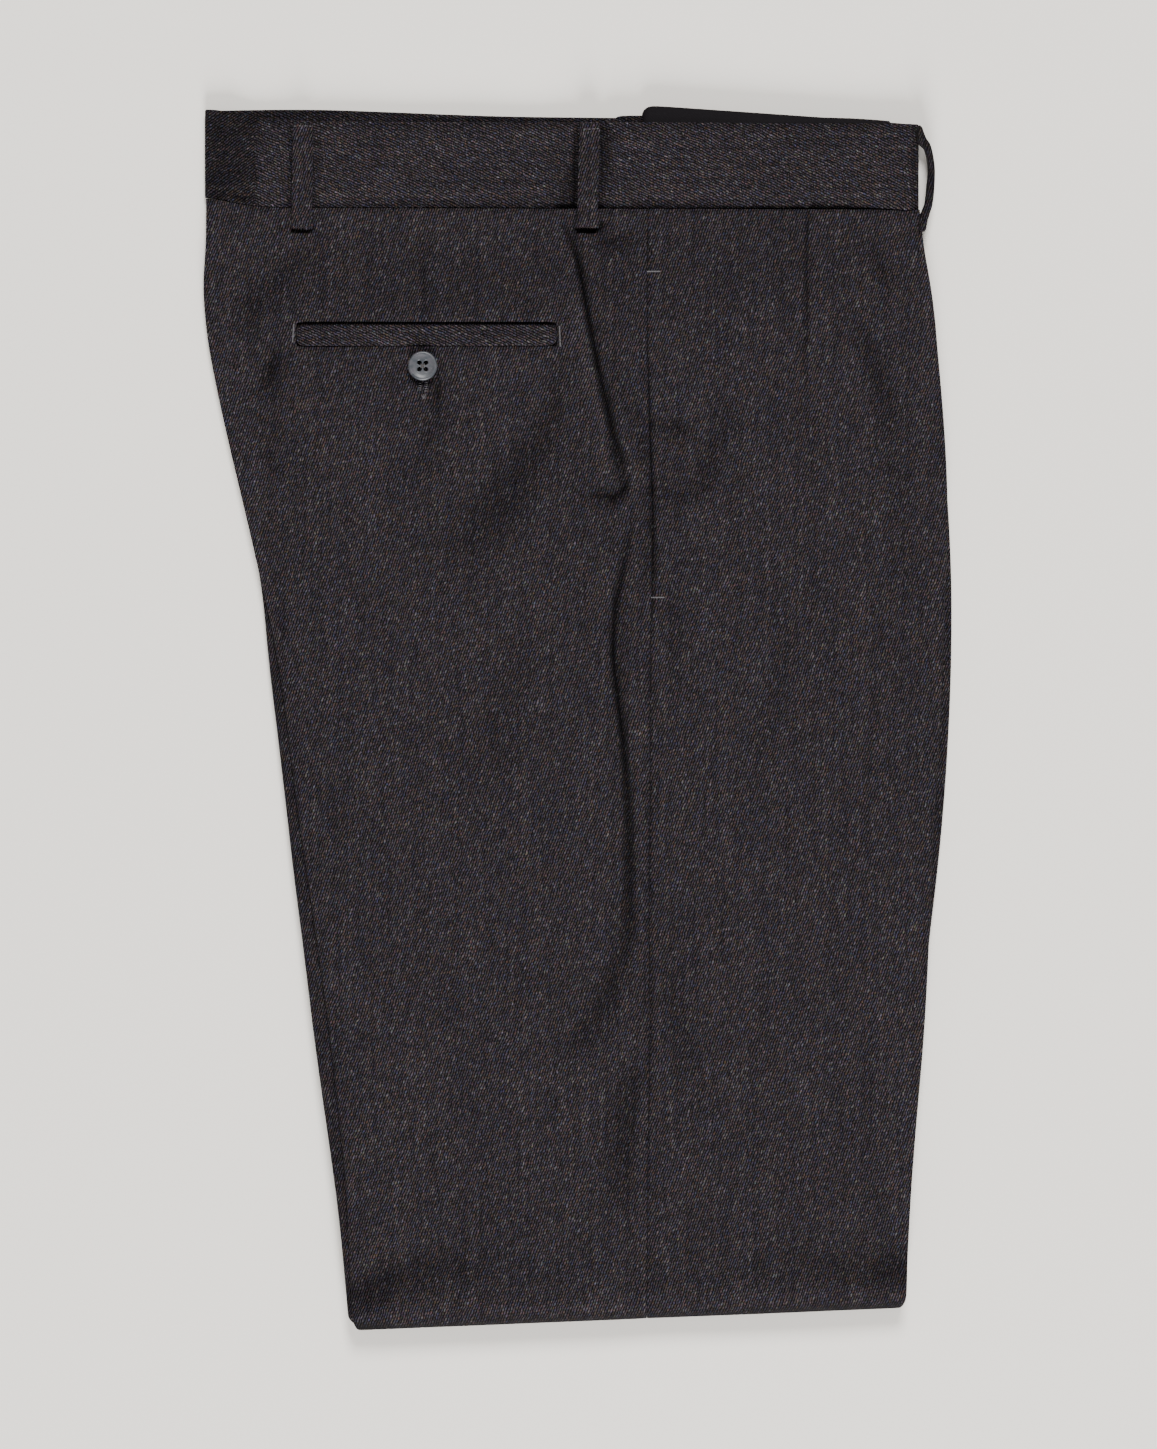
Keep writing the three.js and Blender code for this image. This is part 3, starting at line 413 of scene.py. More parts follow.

# Folds of the waistband beside its loops; their depth also paints shade into the cloth's colour
BAND_FOLDS = {
    "lower edge": [
        (-190.0, 266.6, 1.4, 0.9),
        (-174.0, 263.9, 1.8, 0.9),
        (-161.0, 262.0, 1.8, 0.9),
        (-148.0, 260.9, 1.6, 0.8),
        (-113.0, 260.4, 1.3, 0.8),
        (-64.0, 259.6, 1.4, 0.8),
        (-3.0, 259.6, 2.0, 0.9),
        (49.0, 259.4, 1.5, 0.8),
        (98.0, 258.9, 1.5, 0.8),
        (147.0, 258.5, 1.4, 0.8),
        (172.0, 257.8, 1.0, 0.8),
    ],
    "behind the side loop": [
        (0.5, 301.0, 0.6, 2.0),
        (-1.8, 290.0, 1.0, 2.6),
        (-3.0, 276.0, 1.4, 3.2),
        (-4.4, 267.0, 1.6, 3.8),
        (-6.4, 258.0, 1.8, 4.0),
    ],
    "in front of the side loop": [
        (13.4, 300.0, 1.4, 2.8),
        (13.8, 284.0, 1.2, 2.8),
        (13.8, 270.0, 0.5, 3.0),
        (14.0, 259.0, 0.4, 3.0),
    ],
    "further back": [
        (-12.4, 300.0, 0.0, 4.0),
        (-10.9, 280.0, 0.4, 4.5),
        (-8.8, 258.0, 0.5, 5.0),
    ],
    "left edge of the back loop": [
        (-145.4, 301.0, 0.9, 1.0),
        (-145.8, 280.0, 1.4, 1.0),
        (-146.0, 257.0, 1.5, 1.0),
    ],
    "right edge of the back loop": [
        (-133.9, 301.0, 1.2, 1.1),
        (-133.7, 280.0, 1.5, 1.1),
        (-133.5, 257.0, 1.5, 1.1),
    ],
    "left edge of the side loop": [
        (-0.6, 300.0, 1.2, 1.1),
        (-1.2, 280.0, 1.8, 1.2),
        (-2.0, 257.0, 2.2, 1.3),
    ],
    "right edge of the side loop": [
        (12.2, 300.0, 1.6, 1.2),
        (12.0, 280.0, 1.8, 1.2),
        (11.2, 257.0, 1.8, 1.2),
    ],
    "upper edge": [
        (-174.0, 306.6, 0.8, 0.9),
        (-160.0, 304.9, 1.5, 1.0),
        (-145.0, 304.4, 1.2, 0.9),
        (-100.0, 303.5, 0.9, 0.9),
        (-55.0, 303.0, 0.9, 0.9),
        (-10.0, 302.8, 0.9, 0.9),
        (30.0, 302.8, 0.9, 0.9),
        (83.0, 302.3, 0.9, 0.9),
        (130.0, 301.8, 0.9, 0.9),
        (170.0, 301.0, 0.7, 0.9),
    ],
    "front end, turning down": [
        (172.0, 302.0, 1.1, 2.2),
        (171.6, 280.0, 1.1, 2.2),
        (171.6, 256.0, 1.2, 2.2),
    ],
    "back end, rolling down": [
        (-192.0, 306.0, 1.6, 13.0),
        (-191.5, 280.0, 1.6, 13.0),
        (-191.0, 256.0, 1.2, 12.0),
    ],
}
# Painted shade where the cloth has no fold, in the same columns: the colour darkens there as in a hollow of
# that depth
PAINTED_SHADES = {
    "turning down round the knee fold": [
        (-122.0, -307.9, 1.5, 2.7),
        (27.0, -301.9, 1.5, 2.7),
        (176.0, -295.8, 1.5, 2.7),
    ],
}
# Folds narrower than this, in millimetres, get smaller faces
NARROW_FOLD = 2.3
# Troughs are pressed in by this many times their depth, but never further than the deepest, in millimetres
FOLD_GAIN = 1.7
DEEPEST = 3.2


# Small helpers


def add_object(name, mesh, material, node=None):
    """A piece on the one body, in place of the solid that it stands for"""
    piece = bpy.data.objects.new(name, mesh)
    bpy.context.scene.collection.objects.link(piece)
    mesh.materials.clear()
    mesh.materials.append(material)
    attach(piece, "root")
    if node:
        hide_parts(node)
    return piece


def mesh_from(bm, name, shaded_smooth=True):
    mesh = bpy.data.meshes.new(name)
    for face in bm.faces:
        face.smooth = shaded_smooth
    bm.to_mesh(mesh)
    bm.free()
    return mesh


def applied(piece):
    """The piece's mesh with its modifiers made real"""
    graph = bpy.context.evaluated_depsgraph_get()
    made = bpy.data.meshes.new_from_object(piece.evaluated_get(graph))
    old = piece.data
    piece.modifiers.clear()
    piece.data = made
    bpy.data.meshes.remove(old)
    made.name = piece.name
    return made


def laid_lengths(co):
    """How far along the leg each point lies once the knee fold is opened, counted as y on the upper leg"""
    x, y, z = co.T
    axis = BEND_Y + FOLD_SLOPE * x
    beyond = axis - y
    on_lower_leg = (z < LOWER_LEG_TOP) & (y < LOWER_LEG_HEM_Y)
    on_lower_leg &= (x > LOWER_LEG_X[0]) & (x < LOWER_LEG_X[1])
    lengths = np.where(on_lower_leg, axis - BEND_RADIUS * math.pi + beyond, y)
    round_the_bend = axis - BEND_RADIUS * np.arctan2(beyond, z - BEND_RADIUS)
    return np.where(beyond > 0, round_the_bend, lengths)


def write_laid_uv(mesh):
    """A UV map in metres of laid-out cloth, x across the leg and y along it, turned down at steep edges"""
    co = coordinates(mesh)
    corners = np.empty(len(mesh.loops), int)
    mesh.loops.foreach_get("vertex_index", corners)
    normals = np.empty(len(mesh.polygons) * 3)
    mesh.polygons.foreach_get("normal", normals)
    sizes = np.empty(len(mesh.polygons), int)
    mesh.polygons.foreach_get("loop_total", sizes)
    normals = np.repeat(normals.reshape(-1, 3), sizes, axis=0)
    steep = np.abs(normals[:, 2]) < 0.5
    sideways = np.abs(normals[:, 0]) > np.abs(normals[:, 1])
    bent = co[:, 1] < BEND_Y + FOLD_SLOPE * co[:, 0]
    down = co[corners, 2] * np.sign(normals.sum(axis=1))
    u = co[corners, 0] - down * (steep & sideways)
    v = laid_lengths(co)[corners] - down * (steep & ~sideways & ~bent[corners])
    layer = mesh.uv_layers.new(name="Laid")
    layer.data.foreach_set("uv", np.stack([u, v], axis=1).ravel())


def smooth_copy(node, name, levels, crease_angle=55.0):
    """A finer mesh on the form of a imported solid: its quads are found again, and subdivided"""
    bm = bmesh.new()
    bm.from_mesh(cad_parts[node].data)
    bmesh.ops.remove_doubles(bm, verts=bm.verts, dist=2e-6)
    bmesh.ops.join_triangles(
        bm,
        faces=bm.faces,
        angle_face_threshold=math.radians(40),
        angle_shape_threshold=math.radians(60),
    )
    crease = bm.edges.layers.float.new("crease_edge")
    for edge in bm.edges:
        if edge.is_manifold and edge.calc_face_angle() > math.radians(crease_angle):
            edge[crease] = 0.75
    mesh = mesh_from(bm, name)
    piece = bpy.data.objects.new(name, mesh)
    bpy.context.scene.collection.objects.link(piece)
    finer = piece.modifiers.new("Finer", "SUBSURF")
    finer.levels = finer.render_levels = levels
    fine = applied(piece)
    bpy.context.scene.collection.objects.unlink(piece)
    bpy.data.objects.remove(piece)
    return fine


def coordinates(mesh):
    co = np.empty(len(mesh.vertices) * 3)
    mesh.vertices.foreach_get("co", co)
    return co.reshape(-1, 3)


def curve_through(points, steps=5):
    """A smooth line through the points of a fold, with their depths and widths"""
    rows = np.array(points)
    rows = np.vstack([2 * rows[0] - rows[1], rows, 2 * rows[-1] - rows[-2]])
    t = (np.arange(steps) / steps)[:, None]
    spans = []
    for a, b, c, d in zip(rows, rows[1:], rows[2:], rows[3:]):
        bend = (2 * a - 5 * b + 4 * c - d) * t**2 + (3 * b - 3 * c + d - a) * t**3
        spans.append(0.5 * (2 * b + (c - a) * t + bend))
    return np.vstack([*spans, rows[-2:-1]])


def nearest_on(curve, at):
    """Distance from each place to the curve, and the curve's depth and width there"""
    a, b = curve[:-1], curve[1:]
    step = b[:, :2] - a[:, :2]
    out = at[:, None, :] - a[None, :, :2]
    share = np.clip((out * step).sum(2) / (step**2).sum(1), 0, 1)
    gap = np.linalg.norm(out - share[..., None] * step, axis=2)
    best = gap.argmin(1)
    rows = np.arange(len(at))
    share = share[rows, best][:, None]
    beside = a[best, 2:] + (b - a)[best, 2:] * share
    return gap[rows, best], beside[:, 0], beside[:, 1]


def fold_depth(folds, at):
    """How deep the folds lie at each place, in millimetres"""
    depth = np.zeros(len(at))
    for points in folds.values():
        curve = curve_through(points)
        reach = 3 * curve[:, 3].max()
        low, high = curve[:, :2].min(0) - reach, curve[:, :2].max(0) + reach
        near = np.flatnonzero(((at > low) & (at < high)).all(1))
        if len(near):
            gap, deep, width = nearest_on(curve, at[near])
            depth[near] += deep * np.exp(-((gap / width) ** 2))
    return depth


def swells(at):
    """The slow unevenness of cloth that lies on cloth, in millimetres"""
    x, y = at.T
    return 0.16 * (
        np.sin(x / 17.0 + y / 61.0)
        + np.sin(x / 29.0 - y / 37.0 + 1.7)
        + 0.8 * np.sin(x / 9.5 + 0.6 * np.sin(y / 43.0) + 0.4)
    )


def lay_in_folds(mesh, folds, bed):
    """Presses the folds into all of the piece that lies above the bed, both sides of its wall alike.

    The bed is two heights: below the first nothing moves, and above the second all does.

    The depth that the folds and the painted shades state there is kept in an attribute, which paints shade
    into the cloth's colour in its hollows.
    """
    co = coordinates(mesh) / MM
    weight = np.clip((co[:, 2] - bed[0]) / (bed[1] - bed[0]), 0, 1)
    weight = weight * weight * (3 - 2 * weight)
    depth = weight * fold_depth(folds, co[:, :2])
    co[:, 2] += weight * swells(co[:, :2]) - DEEPEST * np.tanh(FOLD_GAIN * depth / DEEPEST)
    mesh.vertices.foreach_set("co", (co * MM).ravel())
    mesh.update()
    # Painted shade: the depth that darkens the cloth's colour in hollows, and lightens it on ridges
    hollow = mesh.attributes.new("Painted_shade_depth", "FLOAT", "POINT")
    hollow.data.foreach_set("value", depth + weight * fold_depth(PAINTED_SHADES, co[:, :2]))


def close_seam(mesh, side):
    """Draws a leg panel's edge to the side seam, or away from it where the pocket mouth gapes"""
    co = coordinates(mesh) / MM
    y, x, gape = np.array(SIDE_SEAM[::-1]).T
    seam = np.interp(co[:, 1], y, x)
    opening = np.interp(co[:, 1], y, gape)
    gap = co[:, 0] - seam
    near = np.exp(-((gap / SEAM_PULL) ** 2)) * (co[:, 2] > UPPER_SIDE_Z)
    co[:, 0] += side * near * (opening / 2 - SEAM_GAP / 2 + 0.03)
    if side > 0:
        co[:, 2] += near * opening * 0.5
    mesh.vertices.foreach_set("co", (co * MM).ravel())
    mesh.update()


def refine(mesh, folds, rounds, bed):
    """Cuts the faces along the narrow folds smaller, so that the folds have soft sides"""
    narrow = {key: rows for key, rows in folds.items() if min(row[3] for row in rows) < NARROW_FOLD}
    bm = bmesh.new()
    bm.from_mesh(mesh)
    for _ in range(rounds):
        bm.edges.ensure_lookup_table()
        middle = np.array([tuple((e.verts[0].co + e.verts[1].co) / (2 * MM)) for e in bm.edges])
        length = np.array([e.calc_length() / MM for e in bm.edges])
        near = np.zeros(len(middle), bool)
        for points in narrow.values():
            curve = curve_through(points)
            low, high = curve[:, :2].min(0) - 6, curve[:, :2].max(0) + 6
            inside = ((middle[:, :2] > low) & (middle[:, :2] < high)).all(1)
            some = np.flatnonzero(inside & (middle[:, 2] > bed) & (length > 0.8))
            if len(some):
                gap, _, width = nearest_on(curve, middle[some, :2])
                near[some[gap < 1.6 * width + 1.0]] = True
        cut = [bm.edges[i] for i in np.flatnonzero(near)]
        bmesh.ops.subdivide_edges(bm, edges=cut, cuts=1, use_grid_fill=True)
    for face in bm.faces:
        face.smooth = True
    bm.to_mesh(mesh)
    bm.free()


def surface_of(*meshes):
    """A finder for the height of the uppermost cloth at a place in millimetres"""
    trees = []
    for mesh in meshes:
        polygons = [tuple(p.vertices) for p in mesh.polygons]
        trees.append(BVHTree.FromPolygons([v.co for v in mesh.vertices], polygons))

    def height(x, y):
        hits = [tree.ray_cast(Vector((x * MM, y * MM, 0.1)), Vector((0, 0, -1)))[0] for tree in trees]
        return max(hit.z for hit in hits if hit) / MM

    return height


def thread(bm, start, end, thickness, segments=6):
    """One stitch of thread from a point to another, in millimetres: a slim round bead"""
    a, b = Vector(start) * MM, Vector(end) * MM
    turn = (b - a).to_track_quat("X", "Z").to_matrix().to_4x4()
    half = (b - a).length / 2
    size = Matrix.Diagonal((half, thickness * MM / 2, thickness * MM / 2, 1.0))
    bmesh.ops.create_uvsphere(
        bm,
        u_segments=segments,
        v_segments=segments,
        radius=1.0,
        matrix=Matrix.Translation((a + b) / 2) @ turn @ size,
    )


# Materials


class Nodes:
    """Short names for making and linking the nodes of one material"""

    def __init__(self, name):
        self.material = bpy.data.materials.new(name)
        self.material.use_nodes = True
        self.tree = self.material.node_tree
        self.shader = self.tree.nodes["Principled BSDF"]

    def add(self, kind, **values):
        node = self.tree.nodes.new(kind)
        for key, value in values.items():
            setattr(node, key, value)
        return node

    def link(self, source, target):
        self.tree.links.new(source, target)

    def feed(self, node, inputs):
        for key, value in inputs.items():
            if hasattr(value, "links"):
                self.link(value, node.inputs[key])
            else:
                node.inputs[key].default_value = value

    def math(self, operation, *inputs):
        node = self.add("ShaderNodeMath", operation=operation)
        self.feed(node, dict(enumerate(inputs)))
        return node.outputs[0]

    def noise(self, vector, scale, detail=2.0, roughness=0.5):
        node = self.add("ShaderNodeTexNoise")
        self.feed(node, {"Vector": vector, "Scale": scale, "Detail": detail, "Roughness": roughness})
        return node.outputs["Fac"]

    def stretched(self, vector, scale, turn=0.0):
        node = self.add("ShaderNodeMapping", vector_type="POINT")
        self.feed(node, {"Vector": vector, "Scale": scale, "Rotation": (0.0, 0.0, turn)})
        return node.outputs[0]

    def ramp(self, factor, stops):
        node = self.add("ShaderNodeValToRGB")
        ramp = node.color_ramp
        ramp.elements[0].position, ramp.elements[0].color = stops[0]
        ramp.elements[1].position, ramp.elements[1].color = stops[-1]
        for position, colour in stops[1:-1]:
            ramp.elements.new(position).color = colour
        self.feed(node, {"Fac": factor})
        return node.outputs["Color"]

    def mix(self, factor, a, b, blend="MIX"):
        node = self.add("ShaderNodeMix", data_type="RGBA", blend_type=blend)
        self.feed(node, {0: factor, 6: a, 7: b})
        return node.outputs[2]


def rgb(colour, k=1.0):
    return (colour[0] * k, colour[1] * k, colour[2] * k, 1.0)


def suiting(name, twill, shade=1.0, warp_across=False, painted_end_shade=None):
    """Wool twill: diagonal lines of short floats, each of its own tone, with faint streaks along the warp.

    warp_across is true for bands and welts, which are cut with the warp along their length.
    The last argument holds two places across the cloth and a painted shade: the colour darkens from the
    first place to the second.
    """
    settings = cloth_settings()
    n = Nodes(name)
    laid = n.add("ShaderNodeUVMap", uv_map="Laid").outputs[0]

    # Places counted across the twill lines, and along them in floats
    turned = n.add("ShaderNodeVectorRotate", rotation_type="Z_AXIS")
    n.feed(turned, {"Vector": laid, "Angle": -twill})
    place = n.add("ShaderNodeSeparateXYZ")
    n.link(turned.outputs[0], place.inputs[0])
    drift = n.math("MULTIPLY_ADD", n.noise(laid, 620.0, 1.0), 0.5, n.noise(laid, 90.0, 2.0))
    drift = n.math("MULTIPLY", drift, 1.5)
    across = n.math("MULTIPLY_ADD", place.outputs[1], 1 / settings.twill_line, drift)
    row = n.math("FLOOR", n.math("ADD", across, 0.5))
    offset = n.math("MULTIPLY_ADD", row, 0.37, n.math("MULTIPLY", n.noise(laid, 500.0, 1.0), 1.2))
    along = n.math("MULTIPLY_ADD", place.outputs[0], 1 / settings.float_length, offset)
    cell = n.add("ShaderNodeCombineXYZ")
    n.link(row, cell.inputs[0])
    n.link(n.math("FLOOR", n.math("ADD", along, 0.5)), cell.inputs[1])
    tone = n.add("ShaderNodeTexWhiteNoise", noise_dimensions="2D")
    n.link(cell.outputs[0], tone.inputs["Vector"])

    # Each float is a short rounded bar between dark gaps
    def wave(value, low, high):
        turn = n.math("COSINE", n.math("MULTIPLY", value, math.tau))
        return n.math("MULTIPLY_ADD", turn, (high - low) / 2, (high + low) / 2)

    bar = n.math("MULTIPLY", wave(across, 0.0, 1.0), wave(along, 0.5, 1.0))
    grey, blue, rust, pale = (rgb(getattr(settings, key)) for key in ("grey", "blue", "rust", "pale"))
    dull = rgb(settings.grey, 0.6)
    tones = [(0.0, dull), (0.3, grey), (0.42, blue), (0.58, dull), (0.72, rust), (0.86, grey), (1.0, pale)]
    cloth = n.mix(bar, rgb(settings.black), n.ramp(tone.outputs["Value"], tones))
    tuft = n.noise(n.stretched(laid, (1.0, 0.6, 1.0)), 1800.0, 1.0, 0.6)
    bare = 0.0 if warp_across else 0.56
    tufts = n.ramp(tuft, [(0.28, (bare, bare, bare, 1.0)), (0.72, (2 - bare, 2 - bare, 2 - bare, 1.0))])
    cloth = n.mix(1.0, cloth, tufts, "MULTIPLY")

    # Dyed fibres of several colours, blended before spinning
    dye = n.add("ShaderNodeTexNoise")
    n.feed(dye, {"Vector": laid, "Scale": 750.0, "Detail": 2.0, "Roughness": 0.75})
    tint = n.add("ShaderNodeVectorMath", operation="MULTIPLY_ADD")
    n.feed(tint, {0: dye.outputs["Color"], 1: (1.7, 0.7, 2.1), 2: (0.15, 0.65, -0.05)})
    cloth = n.mix(1.0, cloth, tint.outputs[0], "MULTIPLY")

    # Faint streaks along the warp, and a slow change of tone over the cloth
    fine_warp = (0.03, 1.0, 1.0) if warp_across else (1.0, 0.03, 1.0)
    broad_warp = (0.02, 1.0, 1.0) if warp_across else (1.0, 0.02, 1.0)
    fine = n.noise(n.stretched(laid, fine_warp), 420.0, 2.0, 0.6)
    broad = n.noise(n.stretched(laid, broad_warp), 130.0, 2.0, 0.6)
    streak = n.math("MULTIPLY_ADD", fine, 0.7, n.math("MULTIPLY", broad, 0.3))
    uneven = 0.26 if warp_across else 0.19
    least = (1 - uneven, 1 - uneven, 1.02 - uneven, 1.0)
    most = (1 + uneven, 0.99 + uneven, 0.96 + uneven, 1.0)
    streaks = n.ramp(streak, [(0.34, least), (0.66, most)])
    patch = n.noise(laid, 45.0, 3.0, 0.65)
    patches = n.ramp(patch, [(0.3, (0.92, 0.93, 0.96, 1.0)), (0.7, (1.08, 1.07, 1.04, 1.0))])
    cloth = n.mix(1.0, n.mix(1.0, cloth, streaks, "MULTIPLY"), patches, "MULTIPLY")
    # Painted shade: the whole colour darkened by shade, for pieces of the same cloth that lie in shade
    cloth = n.mix(1.0, cloth, (shade, shade, shade, 1.0), "MULTIPLY")

    # Painted shade in the folds' hollows and round the knee fold's rim: the colour darkens by 0.27 for each
    # millimetre of depth in the attribute, and lightens as painted light where a ridge's depth is negative
    hollow = n.add("ShaderNodeAttribute", attribute_name="Painted_shade_depth").outputs["Fac"]
    dark = n.math("MAXIMUM", n.math("MULTIPLY_ADD", hollow, -0.27, 1.0), 0.1)
    cloth = n.mix(1.0, cloth, dark, "MULTIPLY")
    # Painted shade towards one end of the piece
    if painted_end_shade:
        near, far, dimmed = painted_end_shade
        sides = n.add("ShaderNodeSeparateXYZ")
        n.link(laid, sides.inputs[0])
        end = n.add("ShaderNodeMapRange", interpolation_type="SMOOTHSTEP")
        n.feed(end, {"Value": sides.outputs[0], "From Min": far, "From Max": near})
        n.feed(end, {"To Min": dimmed, "To Max": 1.0})
        cloth = n.mix(1.0, cloth, end.outputs[0], "MULTIPLY")
    n.link(cloth, n.shader.inputs["Base Color"])

    n.link(n.math("MULTIPLY_ADD", tuft, 0.2, 0.75), n.shader.inputs["Roughness"])
    n.feed(n.shader, {"Sheen Weight": 0.012, "Sheen Roughness": 0.5, "Specular IOR Level": 0.03})
    bump = n.add("ShaderNodeBump")
    height = n.math("MULTIPLY_ADD", tuft, 0.5, bar)
    n.feed(bump, {"Strength": 0.3, "Distance": 0.2 * MM, "Height": height})
    n.link(bump.outputs[0], n.shader.inputs["Normal"])
    return n.material


def lining_cloth(name, colour):
    """Black lining: a fine plain twill with a soft lustre"""
    n = Nodes(name)
    laid = n.add("ShaderNodeUVMap", uv_map="Laid").outputs[0]
    lines = n.add("ShaderNodeTexWave", wave_type="BANDS", bands_direction="DIAGONAL")
    n.feed(lines, {"Vector": laid, "Scale": 420.0, "Distortion": 1.2, "Detail": 2.0, "Detail Scale": 2.0})
    speck = n.noise(laid, 800.0, 2.0, 0.6)
    shade = n.mix(n.math("MULTIPLY", lines.outputs["Fac"], 0.5), rgb(colour, 0.6), rgb(colour, 1.5))
    n.link(n.mix(n.math("MULTIPLY", speck, 0.4), shade, rgb(colour, 2.4)), n.shader.inputs["Base Color"])
    n.link(n.math("MULTIPLY_ADD", speck, 0.25, 0.55), n.shader.inputs["Roughness"])
    n.feed(n.shader, {"Specular IOR Level": 0.06})
    bump = n.add("ShaderNodeBump")
    n.feed(bump, {"Strength": 0.25, "Distance": 0.1 * MM, "Height": lines.outputs["Fac"]})
    n.link(bump.outputs[0], n.shader.inputs["Normal"])
    return n.material


def shell_button(name, colour):
    """Grey resin with clouded layers, as imitation shell has"""
    n = Nodes(name)
    place = n.add("ShaderNodeTexCoord").outputs["Object"]
    cloud = n.noise(n.stretched(place, (1.0, 1.6, 1.0), 0.6), 210.0, 3.0, 0.55)
    grain = n.noise(place, 2400.0, 2.0, 0.6)
    base = n.ramp(
        cloud,
        [
            (0.3, (colour[0] * 0.45, colour[1] * 0.55, colour[2] * 0.65, 1.0)),
            (0.45, (colour[0] * 0.85, colour[1] * 1.0, colour[2] * 1.05, 1.0)),
            (0.58, rgb(colour, 1.45)),
            (0.72, (colour[0] * 1.25, colour[1] * 1.1, colour[2] * 1.3, 1.0)),
        ],
    )
    n.link(n.mix(n.math("MULTIPLY", grain, 0.3), base, rgb(colour, 1.8)), n.shader.inputs["Base Color"])
    n.link(n.math("MULTIPLY_ADD", cloud, 0.2, 0.38), n.shader.inputs["Roughness"])
    n.feed(n.shader, {"Coat Weight": 0.12, "Coat Roughness": 0.3})
    bump = n.add("ShaderNodeBump")
    n.feed(bump, {"Strength": 0.12, "Distance": 0.05 * MM, "Height": grain})
    n.link(bump.outputs[0], n.shader.inputs["Normal"])
    return n.material


def sewing_thread(name, colour):
    """Spun thread: a soft twist along its length"""
    n = Nodes(name)
    place = n.add("ShaderNodeTexCoord").outputs["Object"]
    twist = n.noise(n.stretched(place, (1.0, 0.6, 1.0), 0.5), 3200.0, 1.0)
    spun = n.ramp(twist, [(0.3, rgb(colour, 0.5)), (0.75, rgb(colour, 1.4))])
    n.link(spun, n.shader.inputs["Base Color"])
    n.link(n.math("MULTIPLY_ADD", twist, 0.2, 0.55), n.shader.inputs["Roughness"])
    n.feed(n.shader, {"Sheen Weight": 0.2})
    return n.material


def table_top(name, colour):
    """The pale floor: even, with the faintest grain"""
    n = Nodes(name)
    place = n.add("ShaderNodeTexCoord").outputs["Object"]
    grain = n.noise(place, 900.0, 2.0, 0.6)
    paint = n.ramp(grain, [(0.3, rgb(colour, 0.985)), (0.7, rgb(colour, 1.01))])
    n.link(paint, n.shader.inputs["Base Color"])
    n.link(n.math("MULTIPLY_ADD", grain, 0.1, 0.85), n.shader.inputs["Roughness"])
    n.feed(n.shader, {"Specular IOR Level": 0.1})
    return n.material


# Settings


def colour_setting(name, description, default):
    return FloatVectorProperty(name=name, description=description, subtype="COLOR", default=default)


class TrousersCloth(bpy.types.PropertyGroup):
    grey: colour_setting("Grey yarn", "Colour of the grey floats", (0.0505, 0.0424, 0.0486))
    blue: colour_setting("Blue yarn", "Colour of the blue floats", (0.0420, 0.0393, 0.0568))
    rust: colour_setting("Rust yarn", "Colour of the rust floats", (0.0617, 0.0434, 0.0420))
    pale: colour_setting("Pale yarn", "Colour of the palest floats", (0.0845, 0.0755, 0.0815))
    black: colour_setting("Dark yarn", "Colour between the floats", (0.0015, 0.0012, 0.0015))
    lining: colour_setting("Lining", "Colour of the lining", (0.0042, 0.0032, 0.0042))
    twill_line: FloatProperty(
        name="Twill line", description="Distance between twill lines", unit="LENGTH", default=1.22 * MM
    )
    float_length: FloatProperty(
        name="Float length", description="Length of one float of the weave", unit="LENGTH", default=1.9 * MM
    )
    fineness: IntProperty(
        name="Fineness", description="Levels of subdivision of the cloth", default=2, min=0, max=3
    )


class TrousersTrim(bpy.types.PropertyGroup):
    button: colour_setting("Button", "Colour of the button", (0.038, 0.0375, 0.0425))
    thread: colour_setting("Thread", "Colour of the sewing thread", (0.054, 0.048, 0.054))
    tack_thread: colour_setting("Tack thread", "Colour of the bar tacks", (0.085, 0.080, 0.086))
    button_thread: colour_setting("Button thread", "Colour of the button's thread", (0.03, 0.022, 0.02))


class TrousersStudio(bpy.types.PropertyGroup):
    floor: colour_setting("Floor", "Colour of the floor", (0.89, 0.85, 0.79))
    waist_light: FloatProperty(
        name="Waist light", description="Watts of the light beyond the waist", default=255.0
    )
    knee_light: FloatProperty(
        name="Knee light", description="Watts of the light beyond the knees", default=395.0
    )
    sky: FloatProperty(name="Sky", description="Strength of the even light", default=0.32)
    distance: FloatProperty(
        name="Camera height", description="Height of the camera over the floor", unit="LENGTH", default=2.4
    )


def cloth_settings():
    return bpy.context.scene.trousers_cloth


def trim_settings():
    return bpy.context.scene.trousers_trim


# Cloth pieces

# What lies above these heights, in millimetres, takes part in the folds
LEG_BED = (4.0, 9.0)
BAND_BED = (4.6, 6.6)

# The front belt loop stands on edge beyond the band's corner, in millimetres: x, y, half its thickness
FRONT_LOOP = [
    (173.3, 300.4, 1.3),
    (173.6, 298.4, 1.6),
    (174.0, 296.1, 1.95),
    (175.0, 292.8, 2.3),
    (177.7, 289.0, 1.85),
    (179.5, 279.4, 1.75),
    (179.0, 268.9, 2.05),
    (178.0, 260.6, 2.05),
    (175.6, 253.6, 2.3),
    (174.9, 248.6, 2.0),
    (174.7, 246.8, 1.7),
]
LOOP_LOW, LOOP_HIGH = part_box("belt_loop_front")

# Thickness of the sewing thread and of the twist in tacks and buttonholes, in millimetres
THREAD = 0.5
TACK_TWIST = 0.44
BUTTONHOLE_TWIST = 0.45

# Stitches across the upper ends of the back loop and the side loop: the middle of each, x and y
LOOP_STITCH = 1.6
LOOP_STITCHES = [
    (-143.5, 300.3),
    (-140.9, 300.4),
    (-138.1, 300.4),
    (-135.6, 300.3),
    (1.2, 298.7),
    (3.6, 298.6),
    (6.0, 298.6),
    (8.3, 298.7),
    (10.2, 298.8),
]

